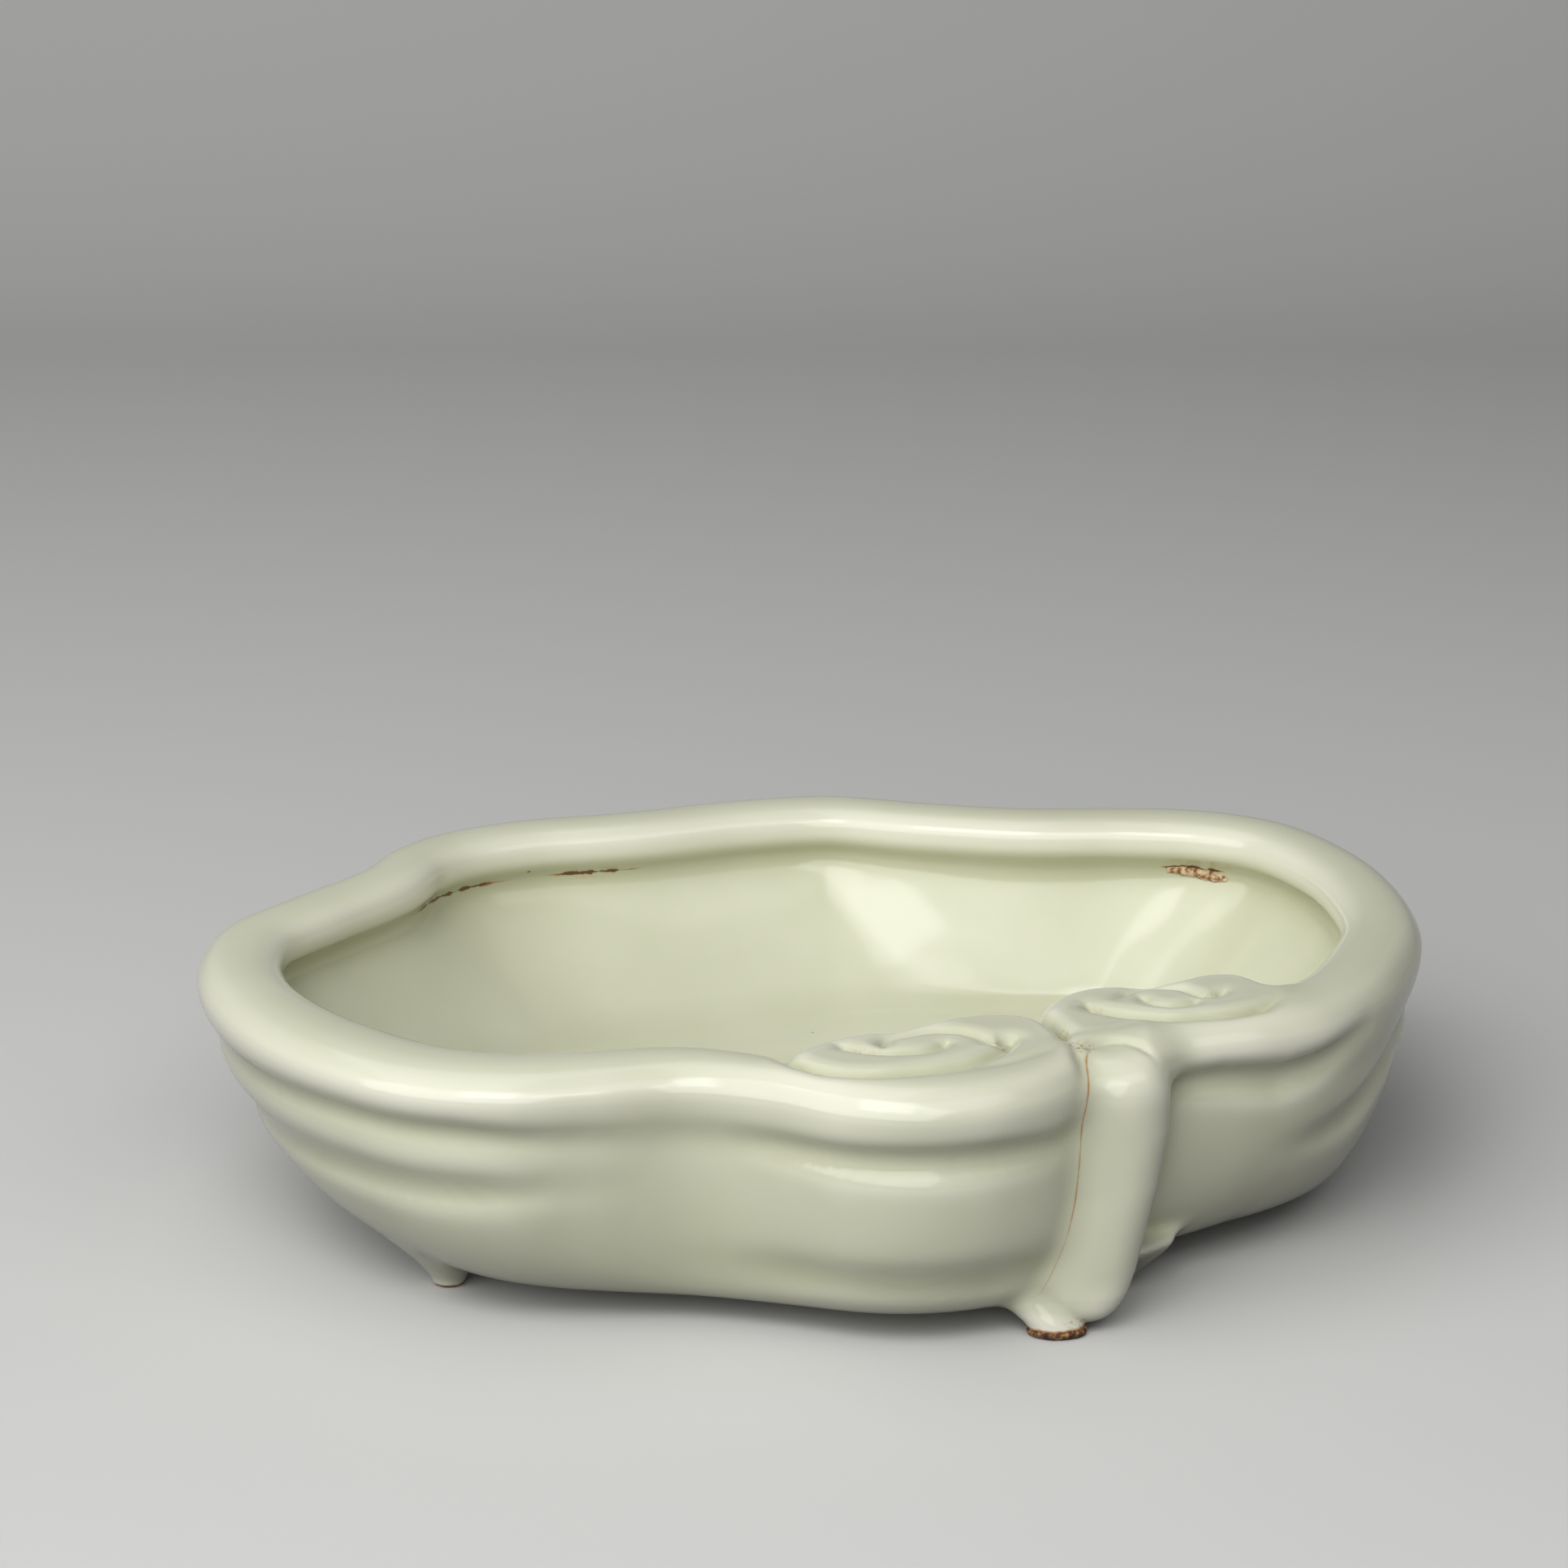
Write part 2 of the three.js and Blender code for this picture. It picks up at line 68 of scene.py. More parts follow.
LIP_LINE = [
    (58.5, -75, 11.5), (62.5, -74, 13.5), (68, -72.5, 15.5), (75, -69.5, 16.5), (84, -66, 17),
    (94, -61.5, 17), (107, -53, 18), (120, -35.5, 18), (128.5, -14, 17.5), (133.5, 7, 17), (133, 31, 17),
    (127, 56, 17), (113, 80, 17.5), (94, 91, 18), (72, 93.5, 17.5), (50, 93, 17), (28, 97, 17),
    (4, 103, 17), (-20, 99, 17), (-46, 89.5, 17), (-72, 82.5, 17), (-90, 72, 17), (-100, 59, 16.5),
    (-106, 44, 17), (-119, 26, 17.5), (-132, 6, 18), (-134.5, -14, 18), (-130, -37, 18.5),
    (-119, -60, 20.5), (-103, -79, 22), (-85, -92, 22.5), (-65, -96.5, 21.5), (-46, -93.5, 20),
    (-28, -89.5, 17.5), (-10, -94, 14.5), (5, -102, 15), (20, -104.5, 17), (33, -102, 17), (43, -96.5, 15),
    (49.3, -91, 14), (53.4, -85.5, 12.5), (55.6, -79.5, 11),
]
BASE_LINE = [
    (52, -62), (81, -39.5), (105, -18), (105, 28), (84, 60), (60, 72), (20, 74), (-48, 62), (-80, 34),
    (-91, -5), (-85, -42), (-62, -69), (-24, -78), (14, -85), (38, -80.5), (49, -72.5),
]
FLOOR_LINE = [
    (64, -40), (84, -24), (94, -6), (97, 12), (96, 27), (91, 42), (84, 54), (76, 63), (68, 68.5), (60, 70),
    (50, 70), (40, 70), (32, 68.5), (22, 67), (12, 65.5), (0, 62.5), (-18, 57), (-36, 50), (-52, 42),
    (-70, 22), (-76, -4), (-68, -31), (-48, -51), (-22, -59), (8, -60), (36, -52),
]


def smooth_curve(points, closed, count):
    """Points along a centripetal Catmull-Rom curve through the given ones."""
    p = np.array(points, float)
    if closed:
        p = np.vstack([p[-1], p, p[0], p[1]])
    else:
        p = np.vstack([2 * p[0] - p[1], p, 2 * p[-1] - p[-2]])
    parts = []
    spans = len(p) - 3
    per_span = max(2, count // spans)
    for i in range(spans):
        a, b, c, d = p[i:i + 4]
        gaps = [max(np.linalg.norm(v), 1e-6) ** 0.5 for v in (b - a, c - b, d - c)]
        t0, t1, t2, t3 = np.concatenate([[0], np.cumsum(gaps)])
        t = np.linspace(t1, t2, per_span, endpoint=False)[:, None]
        e = (t1 - t) / (t1 - t0) * a + (t - t0) / (t1 - t0) * b
        f = (t2 - t) / (t2 - t1) * b + (t - t1) / (t2 - t1) * c
        g = (t3 - t) / (t3 - t2) * c + (t - t2) / (t3 - t2) * d
        h = (t2 - t) / (t2 - t0) * e + (t - t0) / (t2 - t0) * f
        k = (t3 - t) / (t3 - t1) * f + (t - t1) / (t3 - t1) * g
        parts.append((t2 - t) / (t2 - t1) * h + (t - t1) / (t2 - t1) * k)
    if not closed:
        parts.append(p[-2][None, :])
    return np.vstack(parts)


lip_curve = smooth_curve(LIP_LINE, True, 700)
base_curve = smooth_curve(BASE_LINE, True, 500)
floor_curve = smooth_curve(FLOOR_LINE, True, 500)
print("lip points:", len(lip_curve), "longest side, mm:", round(float(np.ptp(lip_curve[:, 0])), 1))

# %% [markdown]
# ## Maps in plan
# Most of the washer's form depends only on where a point is seen from above: how far in from the
# lip line it lies, and how far out from the base line and from the floor line. Those three distances
# are worked out once on a flat map and used again at every height. A little blur on each map keeps
# the short chords of the curves from showing as facets.

# %% Distances in plan
# Radius of the blur on each map.
MAP_BLUR = {"inward": 1.3, "beyond_base": 2.5, "beyond_floor": 4.0, "width": 2.0}


def nearest_on(curve, x, y, closed=True):
    """Distance to the curve's nearest segment, the third value there, and the place along it, 0 to 1."""
    a = curve
    b = np.roll(curve, -1, axis=0) if closed else curve[1:]
    a = a if closed else a[:-1]
    best = np.full(x.shape, 1e9)
    width = np.zeros(x.shape)
    place = np.zeros(x.shape)
    for i in range(len(a)):
        ax, ay = a[i, :2]
        dx, dy = b[i, 0] - ax, b[i, 1] - ay
        t = np.clip(((x - ax) * dx + (y - ay) * dy) / (dx * dx + dy * dy + 1e-12), 0, 1)
        d = np.hypot(x - ax - t * dx, y - ay - t * dy)
        near = d < best
        best = np.where(near, d, best)
        if curve.shape[1] > 2:
            width = np.where(near, a[i, 2] + t * (b[i, 2] - a[i, 2]), width)
        place = np.where(near, i + t, place)
    return best, width, place / len(a)


def inside_of(curve, x, y):
    """True where a point lies inside the closed curve."""
    within = np.zeros(x.shape, bool)
    b = np.roll(curve, -1, axis=0)
    for i in range(len(curve)):
        ax, ay = curve[i, :2]
        bx, by = b[i, :2]
        if ay == by:
            continue
        crossing = (ay > y) != (by > y)
        within ^= crossing & (x < (bx - ax) * (y - ay) / (by - ay) + ax)
    return within


def signed_distance(curve, x, y):
    """Distance to a closed curve, below zero inside it, and the curve's third value there."""
    distance, width, _ = nearest_on(curve, x, y)
    return np.where(inside_of(curve, x, y), -distance, distance), width


def blurred(field, step, radius, reach=3.0):
    """A map or a solid field softened along each axis in turn by a Gaussian, cut off at reach radii."""
    steps = max(1, int(reach * radius / step))
    weights = np.exp(-0.5 * (np.arange(-steps, steps + 1) * step / radius) ** 2)
    weights /= weights.sum()
    for axis in range(field.ndim):
        pad = [(steps, steps) if other == axis else (0, 0) for other in range(field.ndim)]
        wide = np.pad(field, pad, mode="edge")
        part = [slice(None)] * field.ndim
        total = 0
        for start, weight in enumerate(weights):
            part[axis] = slice(start, start + field.shape[axis])
            total = total + weight * wide[tuple(part)]
        field = total
    return field


class Plan:
    """The flat maps for one grid of x and y. Every second or third point of a curve is enough here."""

    def __init__(self, x, y, step):
        self.x, self.y = x, y
        beyond_lip, self.width = signed_distance(lip_curve[::2], x, y)
        self.inward = -beyond_lip
        self.beyond_base, _ = signed_distance(base_curve[::3], x, y)
        self.beyond_floor, _ = signed_distance(floor_curve[::3], x, y)
        self.bearing = np.arctan2(y, x)
        for name, radius in MAP_BLUR.items():
            setattr(self, name, blurred(getattr(self, name), step, radius))


# %% [markdown]
# ## The lumps as distances
# Each function gives, for every grid point, roughly how far it is outside that lump in millimetres,
# and a negative number inside. The roll is a rounded oval carried along the lip line. The wall is a
# quarter oval from under the roll down to the edge of the base, hollowed by growth rings that are
# deep on the side lobes and fade at the front, as on the real washer. Inside, the wall leans in all
# the way down and meets a flat floor in a small round.

# %% Smooth minimum and maximum
def smooth_min(a, b, k):
    """The smaller of two distances, with a fillet about k wide where they cross."""
    h = np.clip(0.5 + 0.5 * (b - a) / k, 0, 1)
    return b + (a - b) * h - k * h * (1 - h)


def smooth_max(a, b, k):
    return -smooth_min(-a, -b, k)


def between(pair, share):
    return pair[0] + (pair[1] - pair[0]) * share


def grown(value, start, run):
    """A share that grows from 0 at the start to 1 after the run, downwards if that is negative."""
    return np.clip((value - start) / run, 0, 1)


def oval(u, v, size_u, size_v, power):
    """Distance to a superellipse from its scaled coordinates."""
    r = np.maximum((np.abs(u) ** power + np.abs(v) ** power) ** (1 / power), 1e-3)
    slope = np.sqrt((np.abs(u) ** (power - 1) / size_u) ** 2 + (np.abs(v) ** (power - 1) / size_v) ** 2)
    slope = np.maximum(slope * r ** (1 - power), 0.5 / np.maximum(size_u, size_v))
    return (r - 1) / slope


# %% Roll and wall
# Bearing in degrees; how low the roll's outer side runs; how far in the wall starts, its fullness;
# height and depth of the first growth ring's hollow, the same for the second, and the low third's depth.
GROWTH = [
    (-180, 43, 1.6, 1.75, 45.8, 2.8, 31.5, 2.6, 0.0), (-158, 43, 1.6, 1.75, 46.0, 2.6, 32.0, 2.7, 0.0),
    (-140, 44, 1.6, 1.9, 47.2, 2.2, 33.2, 2.5, 0.0), (-128, 44, 1.5, 2.1, 47.0, 2.2, 33.4, 2.1, 0.0),
    (-120, 44, 1.4, 2.3, 46.0, 0.9, 34.0, 0.5, 0.0), (-112, 43, 1.2, 2.6, 45.5, 0.4, 34.0, 0.0, 0.0),
    (-102, 43, 1.0, 2.7, 45.0, 0.7, 34.0, 0.0, 0.3), (-92, 43, 0.7, 2.7, 44.2, 2.1, 34.0, 0.0, 1.4),
    (-82, 43, 0.5, 2.7, 44.2, 3.0, 34.0, 0.0, 2.0), (-70, 43, 0.5, 2.7, 44.4, 3.0, 34.0, 0.0, 2.2),
    (-63, 43, 0.6, 2.8, 44.0, 1.6, 34.0, 0.0, 1.4), (-55, 44, 0.8, 2.7, 46.0, 0.0, 34.0, 0.0, 0.0),
    (-46, 47, 1.4, 2.5, 49.0, 0.8, 34.0, 0.0, 0.0), (-38, 48, 1.3, 2.3, 48.3, 2.6, 30.0, 0.0, 0.0),
    (-31, 47, 1.1, 2.1, 45.8, 3.8, 29.5, 0.0, 0.0), (-27, 46, 0.9, 2.0, 47.0, 3.2, 29.0, 0.5, 0.0),
    (-22, 45, 0.7, 2.0, 50.0, 1.5, 29.3, 2.0, 0.0), (-18, 44, 0.6, 2.0, 52.0, 0.3, 30.5, 3.2, 0.0),
    (-13, 43, 0.5, 2.0, 52.0, 0.0, 34.0, 4.0, 0.0), (-7, 42, 0.5, 2.0, 33.0, 0.0, 39.5, 4.0, 0.0),
    (0, 42, 0.6, 2.0, 31.0, 0.4, 43.0, 3.6, 0.0), (10, 43, 0.9, 2.0, 30.0, 1.6, 45.5, 3.0, 0.0),
    (40, 44, 1.4, 1.8, 32.0, 2.0, 45.5, 2.6, 0.0), (80, 44, 1.6, 1.8, 33.0, 1.0, 45.0, 1.2, 0.0),
    (96, 44, 1.6, 1.8, 33.0, 0.0, 45.0, 0.3, 0.0), (104, 44, 1.6, 1.8, 45.0, 0.3, 33.0, 0.0, 0.0),
    (130, 44, 1.6, 1.7, 45.5, 2.0, 33.0, 1.6, 0.0), (180, 43, 1.6, 1.75, 45.8, 2.8, 31.5, 2.6, 0.0),
]
HOLLOW_SPREAD = (3.4, 3.8, 4.4)     # half height of the three hollows
THIRD_HOLLOW = 16.0                 # height of the low third hollow
RING_FADE = (-3.92, 2.45)           # the hollows grow from this depth in the wall outwards, over this run

ROLL_POWER = 2.25                   # 2 is an ellipse, more is squarer
INNER_LOW = 49.0                    # underside of the roll on the side of the bowl
BELLY = (54.0, 54.5)                # where the roll is widest: outside, and inside
INNER_TURN = (-0.5625, 1.25)        # from here on, over this run, it takes the inner form; in half widths

WALL_TOP = 52.0                     # height where the wall stands upright
WALL_END = 53.0                     # height where the wall ends inside the roll
WALL_ROUNDS = (2.0, 1.0)            # rounds at that end, and where its two sides meet
LEAST_SPAN = 6.0                    # least run of the wall in plan
INNER_LEAN = (1.8, 1.3)             # how the inner wall leans: in front, and at the back
FLOOR_ROUND = (10.0, 5.0)           # round between wall and floor: in front, and at the back
LEAN_SCALE = 0.85                   # a level distance to a leaning wall is longer than the true one
AT_BACK = (0.0, 0.5)                # from this sine of the bearing on, over this run, it is the back


def growth_at(plan):
    table = np.array(GROWTH, float)
    bearing = np.degrees(plan.bearing)
    return [np.interp(bearing, table[:, 0], table[:, k])[..., None] for k in range(1, 9)]


def roll_distance(plan, z):
    half = plan.width[..., None] / 2
    u = (plan.inward[..., None] - half) / half
    inner = grown(u, *INNER_TURN)
    inner = inner * inner * (3 - 2 * inner)
    low = between((growth_at(plan)[0], INNER_LOW), inner)
    belly = between(BELLY, inner)
    tall = np.where(z > belly, RIM - belly, belly - low)
    return oval(u, (z - belly) / tall, half, tall, ROLL_POWER)


def shell_distance(plan, z, inset, fullness):
    """A quarter oval from an upright edge under the roll down to the edge of the flat underside."""
    run = plan.inward[..., None] - inset + 0 * z
    out = plan.beyond_base[..., None]
    span = np.maximum(out + run, LEAST_SPAN)
    u = np.clip(out / span, 0, None) + 0 * z
    v = np.clip((WALL_TOP - z) / (WALL_TOP - BASE), 0, None)
    return oval(u, v, span, WALL_TOP - BASE, fullness)


def hollow_distance(plan, z, inset):
    """The room inside: a wall that leans out all the way up, and a round where it meets the floor."""
    at_back = grown(np.sin(plan.bearing), *AT_BACK)[..., None]
    run = plan.inward[..., None] - inset - WALL
    out = plan.beyond_floor[..., None]
    span = np.maximum(out + run, LEAST_SPAN)
    floor = BASE + FLOOR
    down = np.clip((WALL_TOP - z) / (WALL_TOP - floor), 0, None)
    side = (out / span - 1 + down ** between(INNER_LEAN, at_back)) * span * LEAN_SCALE
    return smooth_max(side, floor - z + 0 * side, between(FLOOR_ROUND, at_back))


def wall_distance(plan, z):
    """The bowl, the room inside it, and how deep the growth rings are pressed into its outer side."""
    _, inset, fullness, high_1, deep_1, high_2, deep_2, deep_3 = growth_at(plan)
    solid = shell_distance(plan, z, inset, fullness)
    hollow = hollow_distance(plan, z, inset)
    rings = 0
    heights_and_depths = ((high_1, deep_1), (high_2, deep_2), (THIRD_HOLLOW, deep_3))
    for (height, depth), spread in zip(heights_and_depths, HOLLOW_SPREAD):
        rings = rings + depth * np.exp(-((z - height) / spread) ** 2)
    rings = rings * grown(solid, *RING_FADE)
    solid = smooth_max(solid, z - WALL_END + 0 * solid, WALL_ROUNDS[0])
    return smooth_max(solid, -hollow, WALL_ROUNDS[1]), hollow, rings


# %% [markdown]
# ## Scrolls
# At the cleft the roll's two ends turn back and lie flat, each as a low cushion with a spiral crease
# pressed into its top. The cushion is an outline with a rounded edge, and the creases are curves:
# the clay curves down to each crease on both sides, as a roll does where it meets its neighbour.

# %% Scroll outlines and creases
SCROLL_LOW = 50.0       # height of the cushions' underside
SCROLL_EDGE = 4.6       # radius of their rounded edge
LEFT_SCROLL = [
    (-7.5, -84.5), (-2, -90), (9, -95), (20, -95.5), (30, -92), (39, -88), (46, -82.5), (50.6, -76),
    (51.6, -71), (50.4, -65.5), (48, -60), (44.5, -56.2), (40.8, -54.8), (34, -54.8), (26.7, -57.2),
    (20.1, -61.5), (14, -65.2), (7.1, -67.2), (1.5, -70.4), (-3.6, -75.3), (-7, -80),
]
RIGHT_SCROLL = [
    (53, -70), (60, -68.5), (70, -64), (80, -60.5), (89, -56.5), (96, -51), (101, -44), (103, -36),
    (101, -33.5), (97, -36), (93.5, -32), (90.3, -29.4), (86.7, -28.8), (81.2, -30), (76.7, -33.1),
    (71.5, -35.9), (66, -37.0), (59.8, -37.6), (55.5, -39.2), (51.5, -42.5), (47.5, -49), (45.8, -55.5),
    (47.5, -60), (49.6, -66),
]
# Each crease: how deep, how wide its rounded sides are, and its points.
CREASES = [
    (3.4, 5.4, [
        (-8.5, -81), (-6.8, -83.3), (-4.5, -86.2), (-1.5, -88.8), (1.8, -91), (6.8, -92.2), (13.1, -92.2),
        (18.6, -90.8), (23.7, -89.2), (27.9, -86.9), (32.3, -84), (35.8, -80), (38.1, -76.3), (39.6, -71.5),
        (38.6, -71.4), (37.3, -74), (35.8, -74), (34, -71),
    ]),
    (2.8, 4.4, [
        (37, -74), (35.8, -74), (34, -71), (32.4, -69.3), (30.3, -67.6), (27.8, -66.9), (24.3, -66.6),
        (20.9, -67.3), (17.9, -68.8), (15.7, -70), (13.9, -71.4), (13, -74.5), (13, -77.5),
    ]),
    (2.4, 4.4, [
        (3.4, -75.5), (4.9, -76.7), (7, -77.9), (10.4, -79.3), (13.8, -79.9), (17.6, -79.7), (21.4, -79),
        (24, -77.2), (25.8, -74.6), (26.3, -72.8),
    ]),
    (3.4, 5.4, [
        (56.1, -49.5), (57.2, -52.2), (59.7, -54.2), (62.2, -55.6), (65.4, -57.1), (70.1, -58.3),
        (75, -58.7), (79.9, -57.7), (84.9, -56.6), (90, -54.2), (93.5, -51.8), (97, -47.5),
    ]),
    (2.6, 3.6, [
        (86.5, -41), (85.8, -42.5), (83.9, -44.7), (82.2, -45.2), (81.2, -45.2), (79.2, -42.6),
        (77.4, -40.6), (75.2, -39.9), (72.3, -39.6), (69.9, -40), (67.2, -41.2), (64.7, -43.8),
        (62.7, -47.4),
    ]),
    (2.0, 4.0, [
        (67.5, -45.5), (69.8, -49.4), (72.3, -50.9), (74.9, -51.2), (78.3, -49.9), (80.8, -47),
    ]),
    (1.8, 2.6, [
        (45.6, -51.5), (46.5, -54.7), (48.1, -58.5), (49.7, -65.2), (51.4, -71.8), (52.4, -77.3),
        (52.6, -84),
    ]),
    (1.2, 2.6, [
        (52, -76), (54.7, -75), (57.4, -73.2), (60, -72.6), (62.9, -73), (66, -74.6), (68.5, -77.5),
    ]),
]
CREASE_BOTTOM = 0.08    # rounds the bottom of a crease, mm squared
CREASE_RISE = 7.0       # how fast a crease deepens from its ends, per length of crease
CREASE_END = 0.25       # share of its depth that it has at its very end
crease_curves = [(depth, width, smooth_curve(points, False, 90)) for depth, width, points in CREASES]


def outline_distance(outline, x, y):
    return signed_distance(smooth_curve(outline, True, 160), x, y)[0]


def crease_depth(x, y):
    """How far the creases press the tops down at a place seen from above."""
    total = np.zeros(x.shape)
    for depth, width, curve in crease_curves:
        d, _, place = nearest_on(curve, x, y, closed=False)
        near = 1 - np.clip(np.sqrt(d * d + CREASE_BOTTOM) / width, 0, 1)
        taper = np.clip(np.minimum(place, 1 - place) * CREASE_RISE + CREASE_END, 0, 1)
        total = np.maximum(total, taper * depth * (1 - np.sqrt(1 - near * near)))
    return total


def cushion_distance(edge, z):
    """A slab with a rounded edge, from its outline's distance map."""
    middle = (RIM + SCROLL_LOW) / 2
    half_height = (RIM - SCROLL_LOW) / 2
    a = edge[..., None] + SCROLL_EDGE
    b = np.abs(z - middle) - half_height + SCROLL_EDGE
    outside = np.hypot(np.maximum(a, 0), np.maximum(b, 0))
    return outside + np.minimum(np.maximum(a, b), 0) - SCROLL_EDGE


# %% [markdown]
# ## Stalk and feet
# The stalk leaves the cleft, runs down the wall and stands on the table by a short neck. Both are
# oval sections whose centre and size change with height, and a fold shows where the stalk's rounded
# end sits on the neck. The other feet are round and flare upwards. All four soles are flat.

# %% Stalk and feet
# Height, centre x and y, half width in x and in y.
STALK = [
    (0, 53.6, -83.2, 5.6, 4.6), (4, 53.8, -81.6, 8.0, 6.8), (8, 53.7, -79.6, 10.6, 9.0),
    (12, 53.8, -78.2, 12.0, 9.9), (20, 55.8, -76.8, 12.0, 10.6), (30, 58.4, -75.8, 11.9, 10.8),
    (42, 59.6, -75.2, 12.6, 10.8), (52, 59.9, -75.2, 12.6, 10.6), (64, 59.9, -75.2, 12.0, 9.6),
]
# The neck below its rounded end, with the sole that stands on the table.
NECK = [
    (0, 49.1, -86.2, 6.1, 4.3), (2, 48.8, -85.9, 5.9, 4.4), (4, 47.4, -84.6, 6.4, 5.2),
    (6.5, 46.2, -82.4, 6.8, 6.2), (10, 46, -79.5, 6.6, 6.8), (14, 48, -77, 6, 6),
]
STALK_POWER = 2.4           # 2 is an ellipse, more is squarer
STALK_TOP = 58.6
STALK_TOP_ROUND = 10.0
STALK_END = 1.8             # height of the stalk's rounded lower end
STALK_END_ROUND = 5.0
NECK_POWER = 2.1
NECK_TOP = 12.0
NECK_TOP_ROUND = 2.0
NECK_FOLD = 0.7             # how softly the stalk's end runs into the neck
STALK_FOOT_TOP = 8.0        # height where the stalk ends and its foot begins
# Name of each foot, its centre, the radius of its sole, and how much it flares.
FEET = {
    "left_foot": (-78.4, -59, 3.5, 0.75),
    "right_foot": (61, -60, 4.2, 1.0),
    "back_foot": (-12, 60, 4.6, 0.75),
}
FOOT_FLARE = [(0, 0.0), (1.5, 0.3), (4, 2.7), (8, 7.0), (13, 12.0)]   # height, and how much wider
FOOT_TOP = 13.0
FOOT_TOP_ROUND = 3.0
FLARE_SCALE = 0.75          # a level distance to a flaring side is longer than the true one


def column_distance(plan, z, rows, power):
    """An upright column whose oval section changes with height."""
    rows = np.array(rows, float)
    x, y, wide, deep = (np.interp(z, rows[:, 0], rows[:, k]) for k in (1, 2, 3, 4))
    return oval((plan.x[..., None] - x) / wide, (plan.y[..., None] - y) / deep, wide, deep, power)


def stalk_distance(plan, z):
    """The stalk with its rounded top and lower end, and the neck and sole under it."""
    stalk = column_distance(plan, z, STALK, STALK_POWER)
    stalk = smooth_max(stalk, z - STALK_TOP + 0 * stalk, STALK_TOP_ROUND)
    stalk = smooth_max(stalk, STALK_END - z + 0 * stalk, STALK_END_ROUND)
    neck = column_distance(plan, z, NECK, NECK_POWER)
    neck = smooth_max(neck, z - NECK_TOP + 0 * neck, NECK_TOP_ROUND)
    return smooth_min(stalk, neck, NECK_FOLD)


def foot_distance(plan, z, foot):
    x, y, toe, wider = foot
    flare = np.array(FOOT_FLARE, float)
    side = np.hypot(plan.x[..., None] - x, plan.y[..., None] - y) - toe
    side = side - wider * np.interp(z, flare[:, 0], flare[:, 1])
    return smooth_max(side * FLARE_SCALE, z - FOOT_TOP + 0 * side, FOOT_TOP_ROUND)


# %% [markdown]
# ## All the lumps together
# The lumps are joined two by two, each pair with its own fillet. The stalk's fillet changes with the
# place: it is tight beside the left scroll, where the real washer has a hairline, and broad lower
# down and on the right, where the stalk runs into the wall and the roll.

# %% Join the lumps
SCROLLS_FILLET = 0.8        # between the two scrolls
SCROLL_FILLET = 1.2         # between the scrolls and the roll
ROLL_FILLET = 5.0           # between the roll and the wall
FOOT_FILLET = 3.0
# The stalk's fillet: everywhere, then what is added on its right, at its right shoulder, and below
# the scrolls on its left. Each of these places has a start and a run: x, height, and height downwards.
STALK_FILLET = (0.8, 1.6, 5.5, 4.5)
STALK_RIGHT = (58, 10)
STALK_SHOULDER = (44, 8)
BELOW_SCROLLS = (59, -6)
FOOT_COVER = 3.5            # clay that is left between a foot's top and the floor inside
FOOT_COVER_ROUND = 1.0
CREASES_FROM = (53, 4)      # height where the creases begin to press, and the run to their full depth
EDGE_BLUR = 0.8             # blur on the maps of the scrolls' outlines, and of their creases
CREASE_BLUR = 0.2


def all_distances(plan, z, step):
    """The distance to every lump by itself, and to the washer that they make together."""
    edge_left = blurred(outline_distance(LEFT_SCROLL, plan.x, plan.y), step, EDGE_BLUR)
    edge_right = blurred(outline_distance(RIGHT_SCROLL, plan.x, plan.y), step, EDGE_BLUR)
    bowl, hollow, rings = wall_distance(plan, z)
    parts = {
        "bowl": bowl,
        "rolled_lip": roll_distance(plan, z),
        "left_scroll": cushion_distance(edge_left, z),
        "right_scroll": cushion_distance(edge_right, z),
    }
    column = stalk_distance(plan, z)
    parts["stalk"] = np.maximum(column, STALK_FOOT_TOP - z)
    parts["stalk_foot"] = np.maximum(column, z - STALK_FOOT_TOP)
    for name, foot in FEET.items():
        parts[name] = smooth_max(foot_distance(plan, z, foot), FOOT_COVER - hollow, FOOT_COVER_ROUND)

    top = smooth_min(parts["left_scroll"], parts["right_scroll"], SCROLLS_FILLET)
    top = smooth_min(parts["rolled_lip"], top, SCROLL_FILLET)
    whole = smooth_min(top, bowl, ROLL_FILLET) + rings
    right = grown(plan.x, *STALK_RIGHT)[..., None]
    shoulder = right * grown(z, *STALK_SHOULDER)
    below_left = grown(z, *BELOW_SCROLLS) * (1 - right)
    shares = (1, right, shoulder, below_left)
    fillet = sum(size * share for size, share in zip(STALK_FILLET, shares))
    whole = smooth_min(whole, column, fillet)
    for name in FEET:
        whole = smooth_min(whole, parts[name], FOOT_FILLET)
    pressed = blurred(crease_depth(plan.x, plan.y), step, CREASE_BLUR)[..., None]
    whole = whole + pressed * grown(z, *CREASES_FROM)
    whole = np.maximum(whole, -z + 0 * whole)
    return parts, whole


# %% [markdown]
# ## Cracks and dust
# In the kiln the roll has parted a little from the bowl under the back, where two brown cracks and a
# torn scar show, and a hairline runs down where the left lobe meets the stalk. Each line lies where two
# lumps meet, so it is enough to say near which places it opens and how wide. A hairline is orange and
# an open crack dark brown. Dust lies in the ends of the creases and over the stalk's sole.

